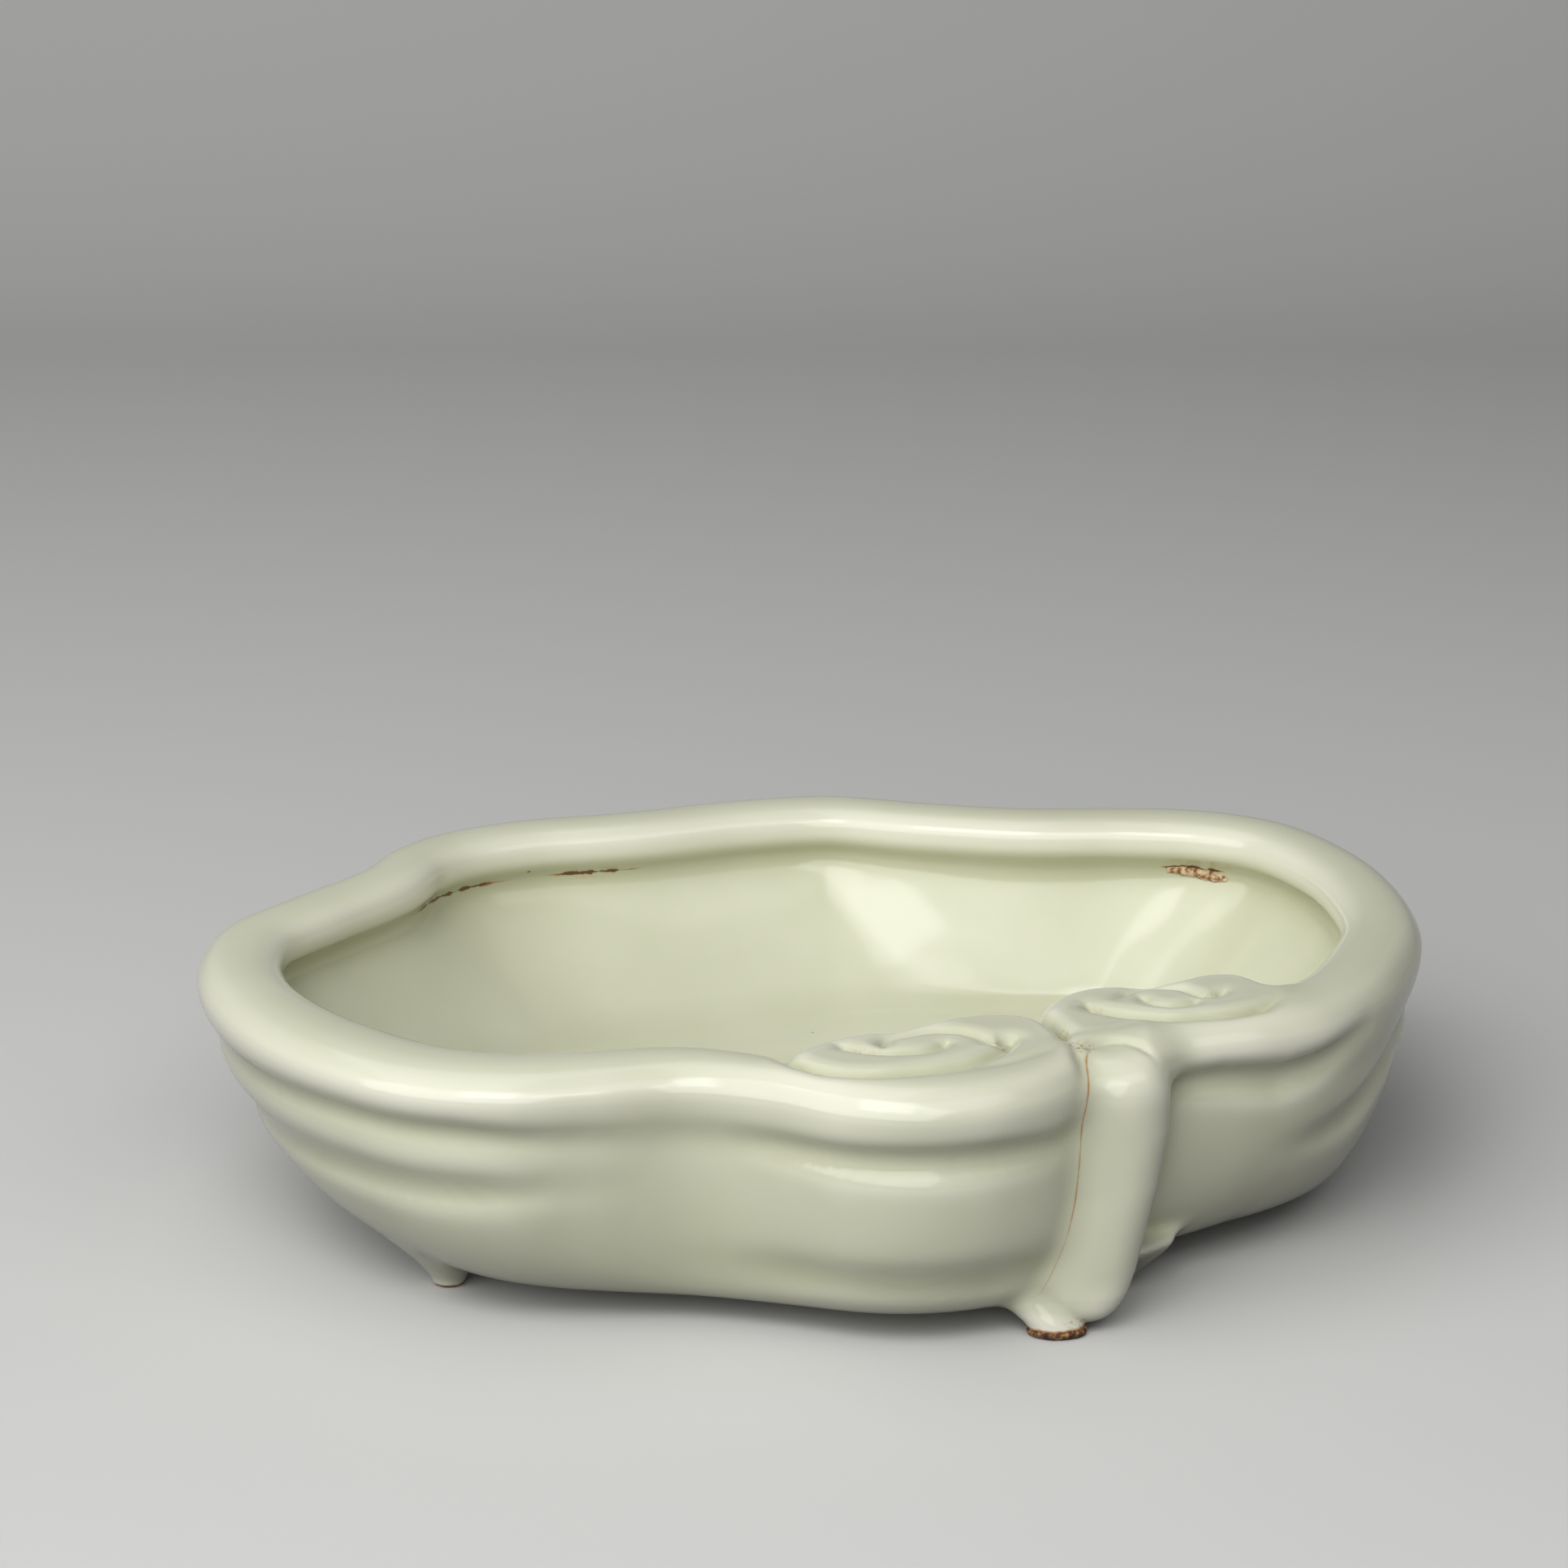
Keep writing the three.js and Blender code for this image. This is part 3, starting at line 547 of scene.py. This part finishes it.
# %% Cracks and dust
# Centre, reach along x, y and z, and strength: half the crack's width in mm, or how dusty.
CRACKS = [
    ((54, -83, 51), (5, 12, 15), 0.18), ((53, -83, 32), (6, 12, 16), 0.15),
    ((48, -85, 16), (9, 12, 10), 0.09), ((-83, 56, 51), (17, 21, 9), 0.36),
    ((-52, 75, 48), (13, 8, 8), 0.34), ((90, 79.5, 46.5), (9, 7, 5), 0.45),
]
DUST = [
    ((53.5, -74.5, 57), (5.0, 3.6, 4), 1.0), ((50.5, -68, 57), (2.5, 7, 4), 0.7),
    ((37, -73.5, 58), (2.6, 2.4, 3), 0.8), ((84, -44.5, 58), (3, 2.4, 3), 0.8),
    ((57, -52.5, 58), (4, 3, 3), 0.5), ((8, -78, 58), (6, 2.5, 3), 0.5),
    ((53.2, -88, 3.3), (3.4, 4, 1.2), 0.6),
]


def marked(places, points):
    """The strongest mark at each point: full at its centre, none beyond its reach."""
    total = np.zeros(len(points))
    for centre, reach, strength in places:
        far = np.linalg.norm((points - np.array(centre)) / np.array(reach), axis=1)
        total = np.maximum(total, strength * np.clip(1 - far ** 3, 0, 1))
    return total


# %% [markdown]
# ## From distances to meshes
# The grid of distances becomes a mesh by the surface-net method: each small cube that the surface
# crosses gets one vertex, and each grid edge that it crosses gets one quad between four cubes. Every
# piece is cut from the same blended field, where its own lump is the nearest, so the surfaces run on
# from piece to piece as glaze does. A piece goes a little way under its neighbour and sinks there by
# a tenth of a millimetre, so that no two surfaces lie in one place.

# %% Surface nets
def surface_net(field):
    """Vertices, as grid places, and quads of the surface where the field is zero."""
    inside = field < 0
    cells = tuple(n - 1 for n in field.shape)
    total = np.zeros(cells + (3,), np.float32)
    count = np.zeros(cells, np.float32)
    for axis in range(3):
        a = [slice(None)] * 3
        b = [slice(None)] * 3
        a[axis], b[axis] = slice(0, -1), slice(1, None)
        fa, fb = field[tuple(a)], field[tuple(b)]
        cut = inside[tuple(a)] != inside[tuple(b)]
        share = np.where(cut, fa / np.where(cut, fa - fb, 1), 0)
        others = [k for k in range(3) if k != axis]
        for i in (0, 1):
            for j in (0, 1):
                pick = [slice(None)] * 3
                pick[others[0]] = slice(i, i + cells[others[0]])
                pick[others[1]] = slice(j, j + cells[others[1]])
                c, s = cut[tuple(pick)], share[tuple(pick)]
                total[..., axis] += np.where(c, s, 0)
                total[..., others[0]] += np.where(c, i, 0)
                total[..., others[1]] += np.where(c, j, 0)
                count += c
    used = count > 0
    index = np.full(cells, -1, np.int64)
    index[used] = np.arange(int(used.sum()))
    where = np.argwhere(used)
    spot = where + total[used] / count[used][:, None]
    quads = []
    for axis in range(3):
        a = [slice(1, -1)] * 3
        b = [slice(1, -1)] * 3
        a[axis], b[axis] = slice(0, -1), slice(1, None)
        ia, ib = inside[tuple(a)], inside[tuple(b)]
        u, v = [(1, 2), (2, 0), (0, 1)][axis]
        for turned in (False, True):
            edge = (ia & ~ib) if not turned else (~ia & ib)
            at = np.argwhere(edge)
            at[:, u] += 1
            at[:, v] += 1
            ring = []
            for du, dv in ((-1, -1), (0, -1), (0, 0), (-1, 0)):
                c = at.copy()
                c[:, u] += du
                c[:, v] += dv
                ring.append(index[c[:, 0], c[:, 1], c[:, 2]])
            quads.append(np.stack(ring[::-1] if turned else ring, axis=1))
    return spot, np.vstack(quads)


def looked_up(field, spot):
    """The field's value at fractional grid places."""
    base = np.clip(np.floor(spot).astype(int), 0, np.array(field.shape) - 2)
    f = spot - base
    value = np.zeros(len(spot))
    for corner in np.ndindex(2, 2, 2):
        value += np.prod(np.where(corner, f, 1 - f), axis=1) * field[tuple((base + corner).T)]
    return value


# %% Cut one piece out
LAP = 2.2                   # how far a piece goes on under its neighbour
LAP_SCALE = 0.6             # the difference of two distances grows faster than a distance
SINK = 0.10                 # how far it sinks there
# How far before the seam a piece starts to sink, or after it where the number is below zero.
YIELDS = {"bowl": 0.9, "rolled_lip": 0.3, "stalk_foot": -0.3, "left_scroll": -0.3}
YIELDS_ELSE = -0.9
JUST_OUTSIDE = 0.01         # a distance that closes the field at the grid's faces
BEND_RADII = (1.3, 2.4)     # the field blurred over these tells how sharply the surface bends
BARE_SOLE = 1.9             # how high bare clay shows on the stalk's foot, and on the other feet
BARE_EDGE = 0.4
ONLY_INSIDE = 9.0           # keeps the cracks under the lip from showing on its outer side


def piece_field(name, parts, whole):
    """The field that is zero on the named piece's surface: the whole washer's, cut off past the lap."""
    others = np.minimum.reduce([d for other, d in parts.items() if other != name])
    past = parts[name] - others
    sunk = SINK * np.clip((past + YIELDS.get(name, YIELDS_ELSE)) / LAP, 0, 1)
    field = np.maximum(whole + sunk, (past - LAP) * LAP_SCALE)
    for axis in range(3):                       # the grid's own faces close what they cut
        for end in (0, -1):
            face = [slice(None)] * 3
            face[axis] = end
            field[tuple(face)] = np.maximum(field[tuple(face)], JUST_OUTSIDE)
    return field


def vertex_marks(name, parts, whole, plan, step, spot, points):
    """What the glaze has to know at each vertex."""
    near, wide = (blurred(whole, step, radius, reach=2.5) for radius in BEND_RADII)
    column = np.minimum(parts["stalk"], parts["stalk_foot"])
    beside_column = ("bowl", "rolled_lip", "left_scroll", "right_scroll")
    lumps = np.minimum.reduce([parts[other] for other in beside_column])
    outer_half = (plan.inward < plan.width / 2)[..., None]
    under_lip = parts["rolled_lip"] - parts["bowl"] + ONLY_INSIDE * outer_half
    parting = np.where(plan.y[..., None] < 0, column - lumps, under_lip)
    return {
        "bend": looked_up(wide - near, spot),
        "bare": np.full(len(points), BARE_SOLE if name == "stalk_foot" else BARE_EDGE),
        "parting": looked_up(parting.astype(np.float32), spot),
        "cracked": marked(CRACKS, points),
        "dusty": marked(DUST, points),
    }


def add_object(name, data):
    made = bpy.data.objects.new(name, data)
    bpy.context.scene.collection.objects.link(made)
    return made


def make_piece(name, low, high, step):
    """Samples the box from low to high, cuts the named lump out and makes its mesh."""
    counts = [int(math.ceil((h - l) / step)) + 1 for l, h in zip(low, high)]
    along_x, along_y, along_z = (l + step * np.arange(n) for l, n in zip(low, counts))
    x, y = np.meshgrid(along_x, along_y, indexing="ij")
    z = along_z[None, None, :]
    plan = Plan(x, y, step)
    parts, whole = all_distances(plan, z, step)
    spot, quads = surface_net(piece_field(name, parts, whole).astype(np.float32))
    points = np.array(low, float) + spot * step
    points[:, :2] -= CENTRE_SHIFT
    whole = whole.astype(np.float32)
    normals = np.stack([looked_up(slope, spot) for slope in np.gradient(whole, step)], axis=1)
    normals /= np.maximum(np.linalg.norm(normals, axis=1, keepdims=True), 1e-9)
    marks = vertex_marks(name, parts, whole, plan, step, spot, points)
    mesh = bpy.data.meshes.new(name + "_clay")
    mesh.from_pydata((points * MM).tolist(), [], quads.tolist())
    mesh.validate()
    mesh.update()
    mesh.polygons.foreach_set("use_smooth", [True] * len(mesh.polygons))
    mesh.normals_split_custom_set_from_vertices(normals.tolist())
    for mark, values in marks.items():
        mesh.attributes.new(mark, "FLOAT", "POINT").data.foreach_set("value", values.astype(np.float32))
    print(name, "quads:", len(quads), "box, mm:", points.min(0).round(1), points.max(0).round(1))
    return add_object(name + "_clay", mesh)


# %% Make the pieces
# Lowest and highest corner of the box in which each piece lies, and the spacing of the grid there.
BOXES = {
    "bowl": ((-137, -108, 5), (138, 110, 54), BOWL_STEP),
    "rolled_lip": ((-137, -108, 38), (138, 110, 62.5), STEP),
    "left_scroll": ((-12, -100, 46), (56, -51, 62.5), SCROLL_STEP),
    "right_scroll": ((43, -72, 46), (105, -26, 62.5), SCROLL_STEP),
    "stalk": ((38, -92, 3), (78, -52, 62), STALK_STEP),
    "stalk_foot": ((34, -98, -2), (70, -64, 12), STALK_STEP),
    "left_foot": ((-94, -74, -2), (-58, -38, 18), STEP),
    "right_foot": ((46, -67, -2), (82, -31, 18), STEP),
    "back_foot": ((-30, 42, -2), (6, 78, 18), STEP),
}
pieces = {name: make_piece(name, *box) for name, box in BOXES.items()}

# %% [markdown]
# ## The glaze
# A celadon glaze is glass, tinted grey-green by a little iron. It runs thin over edges, where the pale
# clay shows through, and pools in hollows, where it is darker and greener. The pale edge colour is also
# a painted highlight, and the dark hollow colour is also a painted shade. Both follow the form, so
# each vertex keeps how sharply the surface bends there: the distance field blurred over 2.4 mm less
# the same field blurred over 1.3 mm is high on an edge and low in a hollow. Every pattern reads the
# place on the object, so it stays where it is when the washer is turned.

# %% Short ways to build node trees
class Nodes:
    """Adds nodes to a tree. An input takes a value, or another node's output as a link."""

    def __init__(self, tree):
        self.tree = tree

    def feed(self, socket, value):
        if isinstance(value, bpy.types.NodeSocket):
            self.tree.links.new(value, socket)
        else:
            socket.default_value = value

    def add(self, kind, inputs=None, **settings):
        node = self.tree.nodes.new(kind)
        for key, value in settings.items():
            setattr(node, key, value)
        for key, value in (inputs or {}).items():
            self.feed(node.inputs[key], value)
        return node

    def maths(self, operation, *values, clamped=False):
        inputs = dict(enumerate(values))
        return self.add("ShaderNodeMath", inputs, operation=operation, use_clamp=clamped).outputs[0]

    def place(self):
        return self.add("ShaderNodeTexCoord").outputs["Object"]

    def attribute(self, mark):
        return self.add("ShaderNodeAttribute", attribute_name=mark).outputs["Fac"]

    def noise(self, place, scale, detail=2.0):
        inputs = {"Vector": place, "Scale": scale, "Detail": detail}
        return self.add("ShaderNodeTexNoise", inputs).outputs["Fac"]

    def carried(self, value, low, high, to_low=0.0, to_high=1.0):
        """The value carried from the range low to high into another range, and held within it."""
        inputs = {"Value": value, "From Min": low, "From Max": high, "To Min": to_low, "To Max": to_high}
        return self.add("ShaderNodeMapRange", inputs).outputs["Result"]

    def mixed(self, share, first, second):
        """A share of the second colour over the first. Each is a colour or a link."""
        first, second = ((*c, 1) if isinstance(c, tuple) else c for c in (first, second))
        inputs = {"Factor": share, 6: first, 7: second}     # 6 and 7 are the node's two colours
        return self.add("ShaderNodeMix", inputs, data_type="RGBA").outputs[2]

    def ramp(self, value, *stops):
        """The colour at the value between stops of a position and a colour."""
        node = self.add("ShaderNodeValToRGB", {"Fac": value})
        elements = node.color_ramp.elements
        for element, (position, colour) in zip(elements, (stops[0], stops[-1])):
            element.position, element.color = position, (*colour, 1)
        for position, colour in stops[1:-1]:
            elements.new(position).color = (*colour, 1)
        return node.outputs["Color"]


def new_material(name):
    material = bpy.data.materials.new(name)
    material.use_nodes = True
    return material, Nodes(material.node_tree), material.node_tree.nodes["Principled BSDF"]


# %% The glaze's colours
def glaze_colour(nodes, place):
    """Cloudy grey-green. Paler on edges, where the glaze is thin, plus a painted highlight. Darker and
    greener in hollows, where it pools, plus a painted shade. Rare iron specks.
    """
    bend = nodes.attribute("bend")
    cloud = nodes.noise(place, 22.0, 4.0)
    body = nodes.ramp(cloud, (0.36, (0.60, 0.61, 0.45)), (0.66, (0.65, 0.66, 0.505)))
    # Paler on edges: thin glaze over the pale clay, plus a painted highlight.
    thin_glaze_and_highlight = nodes.mixed(nodes.carried(bend, 0.05, 0.45), body, (0.78, 0.77, 0.65))
    # Darker and greener in hollows: pooled glaze, plus a painted shade.
    pooled_glaze_and_shade = nodes.mixed(nodes.carried(bend, -0.04, -0.55), thin_glaze_and_highlight, (0.48, 0.49, 0.32))
    cells = nodes.add("ShaderNodeTexVoronoi", {"Vector": place, "Scale": 75.0}, feature="F1")
    chance = nodes.add("ShaderNodeSeparateColor", {"Color": cells.outputs["Color"]}).outputs["Red"]
    dot = nodes.carried(cells.outputs["Distance"], 0.045, 0.02)
    speck = nodes.maths("MULTIPLY", nodes.maths("GREATER_THAN", chance, 0.93), dot)
    return nodes.mixed(speck, pooled_glaze_and_shade, (0.16, 0.09, 0.04))


def cracked_colour(nodes, place, glaze):
    """Brown lines with a rusty stain beside them, where two lumps have parted."""
    cracked = nodes.attribute("cracked")
    aside = nodes.maths("MULTIPLY", nodes.maths("ABSOLUTE", nodes.attribute("parting")), 0.5)
    gaping = nodes.carried(cracked, 0.18, 0.28)
    ragged = nodes.carried(nodes.noise(place, 330.0, 3.0), 0.36, 0.62, -0.7, 0.9)
    fraying = nodes.maths("MULTIPLY", ragged, nodes.maths("MULTIPLY_ADD", gaping, 0.8, 0.2))
    reach = nodes.maths("MULTIPLY", cracked, nodes.maths("ADD", fraying, 1.0))
    stain = nodes.maths("SUBTRACT", nodes.maths("MULTIPLY", reach, 2.2), aside)
    rusty = nodes.maths("MULTIPLY", nodes.maths("MULTIPLY", stain, 1.2, clamped=True), 0.55)
    stained = nodes.mixed(rusty, glaze, (0.55, 0.34, 0.14))
    crack = nodes.maths("MULTIPLY", nodes.maths("SUBTRACT", reach, aside), 6.0, clamped=True)
    brown = nodes.mixed(gaping, (0.45, 0.225, 0.08), (0.13, 0.062, 0.022))
    return nodes.mixed(crack, stained, brown)


def dusted_colour(nodes, grit, glaze):
    """Grains of brown dust."""
    grains = nodes.maths("MAXIMUM", nodes.maths("SUBTRACT", grit, 0.46), 0.0)
    settled = nodes.maths("MULTIPLY", nodes.attribute("dusty"), nodes.maths("MULTIPLY", grains, 5.0))
    return nodes.mixed(nodes.maths("MINIMUM", settled, 0.8), glaze, (0.36, 0.25, 0.13))


def sole_colour(nodes, place, grit, glaze):
    """Bare sandy clay up to a ragged toasted edge just above the table, and how bare it is."""
    height = nodes.add("ShaderNodeSeparateXYZ", {"Vector": place}).outputs["Z"]
    wobble = nodes.maths("MULTIPLY_ADD", nodes.noise(place, 420.0), -0.8 * MM, height)
    above = nodes.maths("SUBTRACT", nodes.maths("MULTIPLY", wobble, 1 / MM), nodes.attribute("bare"))
    toasted = nodes.mixed(nodes.carried(above, 0.15, -0.3), glaze, (0.46, 0.20, 0.06))
    sand = nodes.ramp(grit, (0.42, (0.07, 0.035, 0.018)), (0.66, (0.42, 0.25, 0.13)))
    bare = nodes.carried(above, -0.3, -0.5)
    return nodes.mixed(bare, toasted, sand), bare


# %% The glaze material
def celadon(name):
    """Glossy glaze with a faint ripple, rough only where the clay is bare."""
    material, nodes, shader = new_material(name)
    place = nodes.place()
    grit = nodes.noise(place, 1300.0)
    glaze = glaze_colour(nodes, place)
    glaze = cracked_colour(nodes, place, glaze)
    glaze = dusted_colour(nodes, grit, glaze)
    colour, bare = sole_colour(nodes, place, grit, glaze)
    ripple = {"Height": nodes.noise(place, 60.0), "Strength": 0.12, "Distance": 0.6 * MM}
    nodes.feed(shader.inputs["Base Color"], colour)
    nodes.feed(shader.inputs["Roughness"], nodes.carried(bare, 0.0, 1.0, 0.13, 0.85))
    nodes.feed(shader.inputs["IOR"], 1.5)
    nodes.feed(shader.inputs["Normal"], nodes.add("ShaderNodeBump", ripple).outputs["Normal"])
    return material


glaze_material = celadon("celadon_glaze")
for piece in pieces.values():
    piece.data.materials.append(glaze_material)

for name, piece in pieces.items():
    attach(piece, "root")
    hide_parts(name)

# %% [markdown]
# ## Bare clay
# In two places the coarse clay stands out of the glaze: a rim round the stalk's sole, where the glaze
# was wiped off, and a rough scar where the lip has come away under the back. Both are a lumpy bead
# along a path, so one node tree makes both. It sweeps a round section along the path and then pushes
# its skin in and out by noise. A seed that is written down gives the same lumps every time.

# %% Clay that fired brown
def fired_clay(name, dark, middling, pale):
    """Rough clay whose grains run from dark to pale."""
    material, nodes, shader = new_material(name)
    grain = nodes.noise(nodes.place(), 900.0, 3.0)
    nodes.feed(shader.inputs["Base Color"], nodes.ramp(grain, (0.38, dark), (0.5, middling), (0.66, pale)))
    nodes.feed(shader.inputs["Roughness"], 0.8)
    return material


# %% A node tree that lays a rough bead along a path
BEAD_INPUTS = {
    "Path": "Geometry", "Radius": "Float", "Taper": "Float", "Spacing": "Float",
    "Lump size": "Float", "Lump depth": "Float", "Seed": "Float", "Clay": "Material",
}


def rough_bead_tree():
    """The path is edges, the taper is the share of the radius lost at the ends, sizes are in metres."""
    tree = bpy.data.node_groups.new("rough_bead", "GeometryNodeTree")
    for title, kind in BEAD_INPUTS.items():
        tree.interface.new_socket(title, in_out="INPUT", socket_type="NodeSocket" + kind)
    tree.interface.new_socket("Bead", in_out="OUTPUT", socket_type="NodeSocketGeometry")
    nodes = Nodes(tree)
    given = nodes.add("NodeGroupInput").outputs

    path = nodes.add("GeometryNodeMeshToCurve", {"Mesh": given["Path"]})
    spaced = {"Curve": path.outputs["Curve"], "Length": given["Spacing"]}
    even = nodes.add("GeometryNodeResampleCurve", spaced, mode="LENGTH")
    around = {"Resolution": 14, "Radius": given["Radius"]}
    ring = nodes.add("GeometryNodeCurvePrimitiveCircle", around, mode="RADIUS")
    along = nodes.add("GeometryNodeSplineParameter").outputs["Factor"]
    from_middle = nodes.maths("ABSOLUTE", nodes.maths("MULTIPLY_ADD", along, 2.0, -1.0))
    thinner = nodes.maths("MULTIPLY", given["Taper"], nodes.maths("POWER", from_middle, 2.5))
    swept = nodes.add("GeometryNodeCurveToMesh", {
        "Curve": even.outputs["Curve"], "Profile Curve": ring.outputs["Curve"],
        "Scale": nodes.maths("SUBTRACT", 1.0, thinner), "Fill Caps": True,
    })

    lump = {"W": given["Seed"], "Scale": nodes.maths("DIVIDE", 1.0, given["Lump size"])}
    lumps = nodes.add("ShaderNodeTexNoise", lump, noise_dimensions="4D").outputs["Fac"]
    depth = nodes.maths("MULTIPLY", nodes.maths("SUBTRACT", lumps, 0.5), given["Lump depth"])
    normal = nodes.add("GeometryNodeInputNormal").outputs["Normal"]
    push = nodes.add("ShaderNodeVectorMath", {0: normal, "Scale": depth}, operation="SCALE")
    moved = {"Geometry": swept.outputs["Mesh"], "Offset": push.outputs["Vector"]}
    rough = nodes.add("GeometryNodeSetPosition", moved).outputs["Geometry"]
    real = nodes.add("GeometryNodeRealizeInstances", {"Geometry": rough}).outputs["Geometry"]
    painted = nodes.add("GeometryNodeSetMaterial", {"Geometry": real, "Material": given["Clay"]})
    nodes.add("NodeGroupOutput", {"Bead": painted.outputs["Geometry"]})
    return tree


# %% Lay the two beads
def rough_bead(name, points, closed, sizes):
    """Runs the tree on a path and keeps the result as a plain mesh."""
    count = len(points)
    edges = [(i, (i + 1) % count) for i in range(count if closed else count - 1)]
    dx, dy = CENTRE_SHIFT
    path = bpy.data.meshes.new(name + "_path")
    path.from_pydata([((x - dx) * MM, (y - dy) * MM, z * MM) for x, y, z in points], edges, [])
    carrier = add_object(name + "_path", path)
    modifier = carrier.modifiers.new("bead", "NODES")
    modifier.node_group = bead_tree
    for item in bead_tree.interface.items_tree:
        if item.in_out == "INPUT" and item.name in sizes:
            modifier[item.identifier] = sizes[item.name]
    mesh = bpy.data.meshes.new_from_object(carrier.evaluated_get(bpy.context.evaluated_depsgraph_get()))
    bpy.data.objects.remove(carrier)
    mesh.name = name
    bead = add_object(name, mesh)
    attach(bead, "root")
    print(name, "faces:", len(mesh.polygons), "materials:", [m.name for m in mesh.materials])


SPACING = 0.0003            # distance between the bead's rings, m
SOLE_INSET = 0.6            # how far the bead's middle lies inside the sole's edge
SOLE_HEIGHT = 0.95
SCAR = [
    (83.4, 80.4, 46.8), (85.2, 80.3, 47.0), (88.2, 79.7, 46.8), (91.1, 78.8, 46.4), (93.3, 77.8, 46.0),
    (95.6, 76.6, 45.8), (97.4, 75.8, 45.8),
]
toasted_clay = fired_clay("toasted_clay", (0.030, 0.014, 0.006), (0.135, 0.060, 0.022), (0.40, 0.22, 0.10))
pale_clay = fired_clay("pale_clay", (0.20, 0.095, 0.035), (0.54, 0.36, 0.20), (0.70, 0.55, 0.38))
bead_tree = rough_bead_tree()

_, sole_x, sole_y, sole_wide, sole_deep = NECK[0]
sole = []
for turn in np.linspace(0, 2 * math.pi, 72)[:-1]:
    x = sole_x + (sole_wide - SOLE_INSET) * math.cos(turn)
    y = sole_y + (sole_deep - SOLE_INSET) * math.sin(turn)
    sole.append((x, y, SOLE_HEIGHT))
rough_bead("sole_rim", sole, True, {
    "Radius": 0.8 * MM, "Taper": 0.0, "Spacing": SPACING, "Lump size": 0.9 * MM, "Lump depth": 0.7 * MM,
    "Seed": 3.0, "Clay": toasted_clay,
})
rough_bead("lip_scar", smooth_curve(SCAR, False, 60).tolist(), False, {
    "Radius": 1.3 * MM, "Taper": 0.5, "Spacing": SPACING, "Lump size": 1.3 * MM, "Lump depth": 1.1 * MM,
    "Seed": 8.0, "Clay": pale_clay,
})

# %% [markdown]
# ## Table, light and camera
# The washer stands on a plain pale sheet that curves up behind it. A wide soft lamp in front, high and
# to the left, gives the form its shading, with a weak one above. Two smaller ones in front are the
# windows: the glaze mirrors them as the bright streaks on the roll and the patches inside the bowl.
# The sheet is pale where it is seen or mirrored, and darker for the light that it sends back up,
# because the photograph's table is dark. The places here are in metres.

# %% Table
def paper(name, seen, lit_by):
    """A matt sheet that is pale where it is seen and gives back less light from below."""
    material, nodes, shader = new_material(name)
    rays = nodes.add("ShaderNodeLightPath").outputs
    looks = rays["Is Camera Ray"]
    for kind in ("Is Glossy Ray", "Is Transmission Ray"):
        looks = nodes.maths("MAXIMUM", looks, rays[kind])
    nodes.feed(shader.inputs["Base Color"], nodes.mixed(looks, lit_by, seen))
    nodes.feed(shader.inputs["Roughness"], 0.9)
    return material


def sweep_floor():
    """A sheet that runs back from the camera and curves up behind the washer."""
    half_width, front, bend_from, bend_radius, top = 4.0, -4.0, 0.9, 0.5, 2.4
    side = [(front, 0.0), (bend_from, 0.0)]
    for a in np.linspace(0.1, math.pi / 2, 16):
        side.append((bend_from + bend_radius * math.sin(a), bend_radius * (1 - math.cos(a))))
    side.append((bend_from + bend_radius, top))
    vertices = [(x, y, z) for y, z in side for x in (-half_width, half_width)]
    faces = [(2 * i, 2 * i + 1, 2 * i + 3, 2 * i + 2) for i in range(len(side) - 1)]
    mesh = bpy.data.meshes.new("sweep")
    mesh.from_pydata(vertices, [], faces)
    mesh.polygons.foreach_set("use_smooth", [True] * len(faces))
    return add_object("sweep", mesh)


floor = sweep_floor()
floor.data.materials.append(paper("pale_paper", (0.62, 0.62, 0.61), (0.12, 0.12, 0.118)))

# %% Lamps
# Name, place, width, height and watts.
LAMPS = [
    ("wide_above", (-0.40, 0.10, 1.25), 1.4, 1.0, 4.0),
    ("wide_front", (-0.66, -1.14, 0.94), 2.8, 1.4, 29.5),
    ("window_front", (-0.20, -0.78, 0.985), 0.50, 0.52, 2.6),
    ("window_right", (0.50, -0.62, 0.93), 1.0, 0.5, 2.0),
]
AIM = (0, 0, 0.03)


def turned_towards(place, aim):
    return (Vector(aim) - Vector(place)).to_track_quat("-Z", "Y").to_euler()


for name, place, width, height, watts in LAMPS:
    lamp = bpy.data.lights.new(name, "AREA")
    lamp.shape = "RECTANGLE"
    lamp.size, lamp.size_y = width, height
    lamp.energy = watts
    holder = add_object(name, lamp)
    holder.location = place
    holder.rotation_euler = turned_towards(place, AIM)

world = bpy.data.worlds.new("studio")
bpy.context.scene.world = world
world.use_nodes = True
sky = world.node_tree.nodes["Background"]
sky.inputs["Color"].default_value = (1.0, 0.985, 0.955, 1)
sky.inputs["Strength"].default_value = 0.06

# %% Camera
# It looks down by 17 degrees from about 1.1 m away, which fits the outlines in the photograph.
lens = bpy.data.cameras.new("photo_camera")
lens.lens = 111.8
lens.sensor_width = 36.0
lens.clip_start, lens.clip_end = 0.05, 20.0
camera = add_object("photo_camera", lens)
camera.location = (-0.00698, -1.01635, 0.4035)
camera.rotation_euler = (math.radians(90 - 17), 0, 0)
bpy.context.scene.camera = camera
bpy.context.scene.view_settings.view_transform = "Standard"
